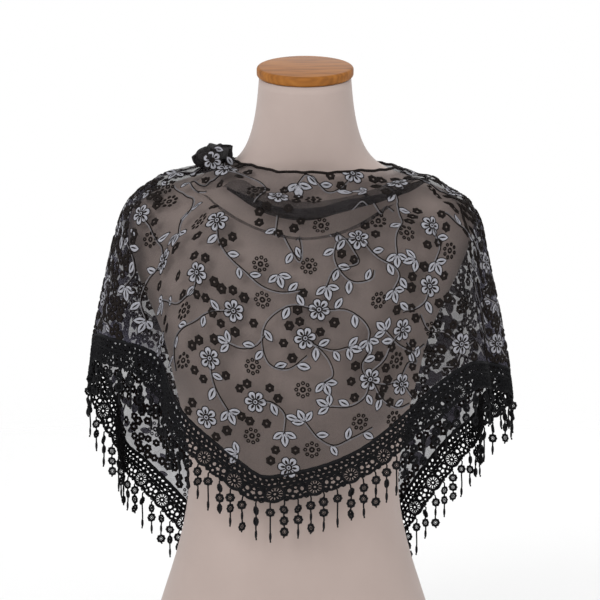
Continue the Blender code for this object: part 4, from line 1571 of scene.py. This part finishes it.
def band_repeat():
    """One repeat of the band, across and down from its hem, with its wheel."""
    parts = []
    pitch = REPEAT / CELLS
    for down, shift in CELL_ROWS:
        for k in range(CELLS):
            parts.append(loose_ring((k + 0.5 + shift) * pitch, down, 2.7, 2.15, 1.28, 8, 4, 0.5 - shift))
    for k in range(SLOTS):
        x = (k + 0.5) * REPEAT / SLOTS
        if abs(x - REPEAT / 2) > 5:
            parts.append(loose_ring(x, 13.9, 3.1, 1.5, 1.3))
    middle = REPEAT / 2
    parts.append(
        ring_shape(middle, WHEEL_DOWN, WHEEL_REACH, WHEEL_REACH, 1.4, 20, 4)
    )
    parts.append(ring_shape(middle, WHEEL_DOWN, 2.0, 2.0, 0.85, 8, 4))
    for k in range(WHEEL_PETALS):
        turn = 2 * math.pi * k / WHEEL_PETALS
        x = middle + 5.2 * math.cos(turn)
        y = WHEEL_DOWN + 5.2 * math.sin(turn)
        parts.append(ring_shape(x, y, 2.5, 1.0, 0.82, 8, 3, turn))
    for side in (-1, 1):
        parts.append(loose_ring(middle + side * 12.6, 19.0, 3.4, 3.6, 1.4))
        parts.append(loose_ring(middle + side * 9.9, 26.6, 1.8, 2.0, 1.15, 7, 3))
        parts.append(loose_ring(middle + side * 15.4, 25.4, 2.5, 3.0, 1.35))
    parts.append(ring_shape(0, 16.9, 2.0, 2.0, 1.05, 7, 3))
    return joined(parts)


def scallop_path(start, stop, count):
    """The scalloped lower edge: feet a half repeat apart, with arches between them."""
    along = np.linspace(start, stop, count)
    phase = (along - start) / (REPEAT / 2) * 2 * math.pi
    return along, 28.6 - 1.9 * (0.5 - 0.5 * np.cos(phase)) ** 0.7


def border_tube(along, down, out, radius, sides=5):
    path = border_place(along, down, np.full(len(along), out))
    off = border_place(along, down, np.full(len(along), out + 1.0)) - path
    return tube(path, radius, sides, unit(off))


def build_band():
    start, stop = tips[-1], tips[1]
    count = max(1, round((stop - start) / REPEAT))
    stretch = (stop - start) / count / REPEAT
    repeat = band_repeat()
    local = repeat.points[None, :, :].repeat(count, axis=0)
    along = start + (local[..., 0] + np.arange(count)[:, None] * REPEAT) * stretch
    along = np.clip(along, start + 0.6, stop - 0.6)
    lift = 0.25 * np.sin(along * 1.7) - 0.6
    points = border_place(along, local[..., 1], local[..., 2] + lift)
    size = len(repeat.points)
    faces = [[k + n * size for k in face] for n in range(count) for face in repeat.faces]
    cells = Shape(points.reshape(-1, 3), faces, np.tile(repeat.uv, (count, 1)))
    fine = np.linspace(start + 0.8, stop - 0.8, int((stop - start) / 2.6))
    bead = CORD_THICK * (1 + 0.10 * np.sin(fine * 1.9))
    cords = [border_tube(fine, np.full(len(fine), CORD_DOWN), -0.5, bead, 6)]
    cords.append(border_tube(fine, np.full(len(fine), 12.0), -0.5, 1.05, 4))
    edge_along, edge_down = scallop_path(start + 0.8, stop - 0.8, len(fine))
    cords.append(border_tube(edge_along, edge_down, -0.6, EDGE_THREAD, 4))
    shape = joined([cells] + cords)
    item = add_piece("lace_band", shape.points, shape.faces, finishes["lace"], shape.uv)
    names = ["front", "left", "right", "tail_left", "tail_right"]
    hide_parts(*["band_" + name for name in names])
    return item


# The fringe

STRIP_DOWN = 29.9
STRIP_END = 31.4
BAND_PITCH = 18.5
STRAND_RUN = 12.5
STRAND_MARGIN = 4.0
STRAND_SKIP = 8.0
FLORET_WIDE = 9.6
FRINGE_THREAD = 0.85
FLORET_GAP = 2.6
DROP_GAP = 4.4
STRAND_PITCH = 14.0

# The strands, one after another: how far down its florets and its long drop hang, and its end.
Strand = namedtuple("Strand", "florets drop end")
STRANDS = [
    Strand((7.5, 19.0), 32.5, 39.0),
    Strand((8.5,), 34.0, 40.5),
    Strand((7.0, 18.5, 30.0), None, 36.5),
    Strand((9.0, 21.0), 35.5, 42.0),
    Strand((8.0, 32.0), 20.0, 38.5),
]


def strand_roots():
    """Where the strands hang, stretch by stretch, with the strand that each one is."""
    marks = [tips[-1], length_at(-SIDE_TURN), length_at(-FRONT_TURN)]
    marks += [length_at(FRONT_TURN), length_at(SIDE_TURN), tips[1]]
    roots = []
    for start, stop in zip(marks, marks[1:]):
        along = np.arange(start + 1 + STRAND_MARGIN, stop - 1 - STRAND_MARGIN, 1.0)
        places = border_place(along, np.full(len(along), STRIP_DOWN), np.zeros(len(along)))
        last, k, hung_here = None, 0, 0
        while k < len(along):
            off = None if last is None else places[k] - last
            if off is None or (
                np.linalg.norm(off) >= STRAND_PITCH and math.hypot(*off[:2]) >= STRAND_RUN - 2
            ):
                roots.append((along[k], STRANDS[hung_here % len(STRANDS)]))
                last = places[k]
                hung_here += 1
                k += int(STRAND_SKIP)
            k += 1
    return roots


def fringe_floret():
    """A flower of lace rings: a lobed rim and a small ring inside it, upright in XZ."""
    rim = ring_shape(0, 0, 3.6, 3.6, 1.65, 16, 4)
    turn = np.arctan2(rim.points[:, 1], rim.points[:, 0])
    wave = 1 + 0.07 * np.cos(8 * turn)
    rim.points[:, 0] *= wave
    rim.points[:, 1] *= wave
    shape = joined([rim, ring_shape(0, 0, 1.2, 1.2, 0.7, 6, 3)])
    points = shape.points[:, [0, 2, 1]] * [1, 1, 1]
    return Shape(points, [face[::-1] for face in shape.faces], shape.uv)


def fringe_drop():
    """A long drop of close-wound thread."""
    tidy_selection()
    bpy.ops.mesh.primitive_uv_sphere_add(segments=6, ring_count=6, radius=1.0)
    item = bpy.context.object
    item.scale = (1.6, 1.3, 5.2)
    return modelled(item)


def copy_at(shape, place, yaw, tilt=0.0, scale=1.0):
    turn = Matrix.Rotation(yaw, 3, "Z") @ Matrix.Rotation(tilt, 3, "X")
    points = shape.points * scale @ np.array(turn).T + place
    return Shape(points, shape.faces, shape.uv)


def build_fringe():
    roots = strand_roots()
    along = np.array([at for at, _ in roots])
    ends = border_place(along, np.full(len(along), STRIP_END), np.full(len(along), -0.7))
    tops = border_place(along, np.full(len(along), 27.6), np.full(len(along), -0.7))
    aside = border_place(along + 3, np.full(len(along), STRIP_END), np.full(len(along), -0.7))
    floret, drop = fringe_floret(), fringe_drop()
    parts = []
    for n, (_, strand) in enumerate(roots):
        facing = math.atan2(*(aside[n] - ends[n])[[1, 0]])
        sway = randomly.uniform(-1.4, 1.4, 2) * [1.0, 0.5]
        stretch = randomly.uniform(0.92, 1.04)

        def lower(distance):
            swing = sway * (distance / 40) + 0.5 * sway * math.sin(distance / 6)
            return ends[n] + [*swing, -distance * stretch]

        stops = []
        for at in strand.florets:
            yaw = facing + randomly.choice([0.05, 0.2, -0.3, 0.8, -1.0])
            middle = lower(at)
            parts.append(copy_at(floret, middle, yaw, randomly.uniform(-0.3, 0.3)))
            stops.append((at - FLORET_GAP, at + FLORET_GAP))
        if strand.drop is not None:
            parts.append(copy_at(drop, lower(strand.drop), facing))
            stops.append((strand.drop - DROP_GAP, strand.drop + DROP_GAP))
        start = 0.0
        for begin, end in sorted(stops) + [(strand.end, None)]:
            places = [lower(d) for d in np.linspace(start, begin, max(2, int((begin - start) / 4)))]
            if start == 0.0:
                places.insert(0, tops[n])
            parts.append(tube(np.array(places), FRINGE_THREAD, 4))
            start = end
    shape = joined(parts)
    item = add_piece("floret_fringe", shape.points, shape.faces, finishes["lace"], shape.uv)
    names = ["front", "left", "right", "tail_left", "tail_right"]
    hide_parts(*["fringe_" + name for name in names])
    return item


# The overlocked raw edge, and the gathered knot

EDGE_STEP = 0.9
EDGE_STITCH = 2.4


def edge_path():
    """Along the left tail's raw edge, round the neck and down the right tail's raw edge."""
    levels = np.linspace(TIP_LEVEL, 0.0, 900)
    neck_left = float(raw_angle(np.array(0.0), -1))
    neck_right = float(raw_angle(np.array(0.0), 1))
    neck = np.linspace(-neck_left, neck_right, 900)
    angle = np.concatenate([-raw_angle(levels, -1), neck[1:-1], raw_angle(levels[::-1], 1)])
    level = np.concatenate([levels, np.zeros(len(neck) - 2), levels[::-1]])
    points = draped(angle, level)
    length = np.concatenate([[0], np.cumsum(np.linalg.norm(np.diff(points, axis=0), axis=1))])
    even = np.arange(0, length[-1], EDGE_STEP)
    return np.stack([np.interp(even, length, points[:, k]) for k in range(3)], axis=-1), even


def build_edge():
    path, run = edge_path()
    wobble = 0.9 * np.sin(run / 9.3) + 0.7 * np.sin(run / 4.1) + 0.3 * np.sin(run / 2.2)
    path = path + np.stack([wobble * 0.3, wobble * 0.3, wobble * 0.6], axis=-1)
    thick = 1.3 + 0.5 * np.abs(np.sin(math.pi * run / EDGE_STITCH))
    middle = path.mean(axis=0)
    away = unit((path - middle) * [1, 1, 0])
    shape = tube(path, thick, 5, away)
    return add_piece("overlocked_edge", shape.points, shape.faces, finishes["dark"], shape.uv)


KNOT_ANGLE = -72.0
KNOT_LEVEL = 0.9
KNOT_REACH_DOWN = 18.0
KNOT_REACH_ROUND = 17.0
KNOT_HEIGHT = 16.0
KNOT_RUFFLES = 7
KNOT_SIDES = 140
KNOT_ROWS = 30


def knot_place(turn, climb):
    """A place on the knot: round it, and from its foot on the cloth (0) to its middle (1)."""
    centre = hung(np.array(KNOT_ANGLE), np.array(KNOT_LEVEL))
    per_level = np.linalg.norm(
        hung(np.array(KNOT_ANGLE), np.array(KNOT_LEVEL + 0.5)) - centre
    ) / 0.5
    per_degree = np.linalg.norm(
        hung(np.array(KNOT_ANGLE + 5), np.array(KNOT_LEVEL)) - centre
    ) / 5
    profile = smooth_curve([0, 0.2, 0.45, 0.7, 0.88, 1], [0.80, 0.92, 0.98, 0.86, 0.42, 0.02])
    rise = smooth_curve([0, 0.2, 0.45, 0.7, 0.88, 1], [0.0, 0.28, 0.66, 1.02, 0.96, 0.66])
    wave = 1 + 0.16 * np.sin(KNOT_RUFFLES * turn + 2.2 * climb)
    wave = wave + 0.07 * np.sin(17 * turn - 3 * climb) + 0.04 * np.sin(29 * turn + 5 * climb)
    reach = profile(climb) * wave
    level = KNOT_LEVEL + KNOT_REACH_DOWN * reach * np.cos(turn) / per_level
    angle = KNOT_ANGLE + KNOT_REACH_ROUND * reach * np.sin(turn) / per_degree
    height = KNOT_HEIGHT * rise(climb) * (1 + 0.10 * np.sin(3 * turn) + 0.07 * np.sin(11 * turn))
    return moved_out(hung, angle, np.maximum(0.02, level), 0.8 + height)


def build_knot():
    """The knot of the neck edge: ruffled net, gathered on the left shoulder."""
    turn = np.linspace(0, 2 * math.pi, KNOT_SIDES, endpoint=False)
    climb = np.linspace(0, 1, KNOT_ROWS)
    turns, climbs = np.meshgrid(turn, climb)
    points = knot_place(turns, climbs)
    faces = grid_faces(KNOT_ROWS, KNOT_SIDES, closed=True)
    faces.append([(KNOT_ROWS - 1) * KNOT_SIDES + k for k in range(KNOT_SIDES)][::-1])
    faces.append(list(range(KNOT_SIDES)))
    uv = np.stack([turns * 17, climbs * 40], axis=-1).reshape(-1, 2)
    # The knot's net is the darkened gathered net: painted shade in its ruffles.
    item = add_piece(
        "shoulder_knot", points.reshape(-1, 3), faces, finishes["gathered"], uv=uv
    )
    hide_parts("shoulder_gather")
    return item


def tacked_on(shape, across, down, spin, scale):
    """A motif on the knot where the camera sees it, facing forward, bent round the knot."""
    turn, climb = np.meshgrid(np.linspace(0, 2 * math.pi, 90), np.linspace(0, 1, 40))
    places = knot_place(turn.ravel(), climb.ravel())
    seen_across, seen_down, depth = seen(places)
    off = (seen_across - across) ** 2 + (seen_down - down) ** 2
    near = off < max(4.0, off.min() + 1.0)
    place = places[np.flatnonzero(near)[np.argmin(depth[near])]]
    _, ahead, up = camera_axes()
    east = np.array([1.0, 0.0, 0.0])
    local = turned(shape, spin).points * scale
    flat = local[:, :1] * east + local[:, 1:2] * up
    droop = 0.03 * (local[:, 0] ** 2 + local[:, 1] ** 2)
    points = place + flat - (local[:, 2] + KNOT_MOTIF_OUT - droop)[:, None] * ahead
    return Shape(points, shape.faces, shape.uv)


KNOT_MOTIF_OUT = 2.2
KNOT_FLOWERS = [(214, 161, 10, 0.85)]
KNOT_LEAVES = [(218, 168, 185, 0.8), (222, 151, 75, 0.7), (228, 158, 215, 0.7)]


def build_knot_motifs():
    petals, lines = flower_shapes()
    leaf, leaf_line = leaf_shapes()
    silver, dark = [], []
    for spot in KNOT_FLOWERS:
        silver.append(tacked_on(petals, *spot))
        dark.append(tacked_on(lines, *spot))
    for spot in KNOT_LEAVES:
        silver.append(tacked_on(leaf, *spot))
        dark.append(tacked_on(leaf_line, *spot))
    made = []
    for name, parts, finish in (("knot_petals", silver, "silver"), ("knot_outlines", dark, "dark")):
        shape = joined(parts)
        made.append(add_piece(name, shape.points, shape.faces, finishes[finish], shape.uv))
    return made


# Floor, light and camera

FLOOR_REACH = 3.2
FLOOR_FADE_START = 0.9


def build_stage():
    tidy_selection()
    bpy.ops.mesh.primitive_circle_add(
        vertices=96, radius=FLOOR_REACH, fill_type="NGON", location=(0, 0, -0.0004)
    )
    floor = bpy.context.object
    floor.name = "floor"
    finish = Finish("pale_floor", 0.7)
    finish.set("Base Color", (0.86, 0.86, 0.86, 1.0))
    coordinate = finish.node("ShaderNodeTexCoord").outputs["Object"]
    distance = finish.node("ShaderNodeVectorMath", [(0, coordinate)], operation="LENGTH")
    fade = finish.node(
        "ShaderNodeMapRange",
        [("Value", distance.outputs["Value"]), (1, FLOOR_FADE_START), (2, FLOOR_REACH - 0.3)],
        interpolation_type="SMOOTHSTEP",
    )
    fade.inputs[3].default_value = 1.0
    fade.inputs[4].default_value = 0.0
    finish.join("Alpha", fade.outputs["Result"])
    floor.data.materials.append(finish.material)


Light = namedtuple("Light", "name x y z size watts")
LIGHTS = [
    Light("key", -1.2, -2.2, 1.9, 1.2, 26.0),
    Light("fill", 1.9, -1.8, 1.2, 1.4, 6.0),
    Light("behind", 0.4, 2.4, 1.8, 1.4, 8.0),
]


def build_lights():
    world = bpy.data.worlds.new("studio")
    world.use_nodes = True
    world.node_tree.nodes["Background"].inputs["Color"].default_value = (1.0, 1.0, 1.0, 1.0)
    world.node_tree.nodes["Background"].inputs["Strength"].default_value = 1.0
    bpy.context.scene.world = world
    aim = Vector((0, 0, 0.45))
    for light in LIGHTS:
        data = bpy.data.lights.new(light.name, "AREA")
        data.size = light.size
        data.energy = light.watts
        lamp = bpy.data.objects.new(light.name, data)
        lamp.location = (light.x, light.y, light.z)
        lamp.rotation_euler = (aim - lamp.location).to_track_quat("-Z", "Y").to_euler()
        bpy.context.scene.collection.objects.link(lamp)


def build_camera():
    eye, ahead, _ = camera_axes()
    data = bpy.data.cameras.new("camera")
    data.lens = CAMERA_LENS
    data.sensor_width = SENSOR
    camera = bpy.data.objects.new("camera", data)
    camera.location = Vector(eye) * MM
    camera.rotation_euler = Vector(ahead).to_track_quat("-Z", "Y").to_euler()
    bpy.context.scene.collection.objects.link(camera)
    bpy.context.scene.camera = camera
    bpy.context.scene.view_settings.view_transform = "Standard"


build_camera()
build_stage()
build_lights()
build_form()
build_cap()
net = build_net()
on_the_net = build_embroidery()
on_the_net += [build_band(), build_fringe(), build_edge()]
on_the_net += [build_knot()] + build_knot_motifs()
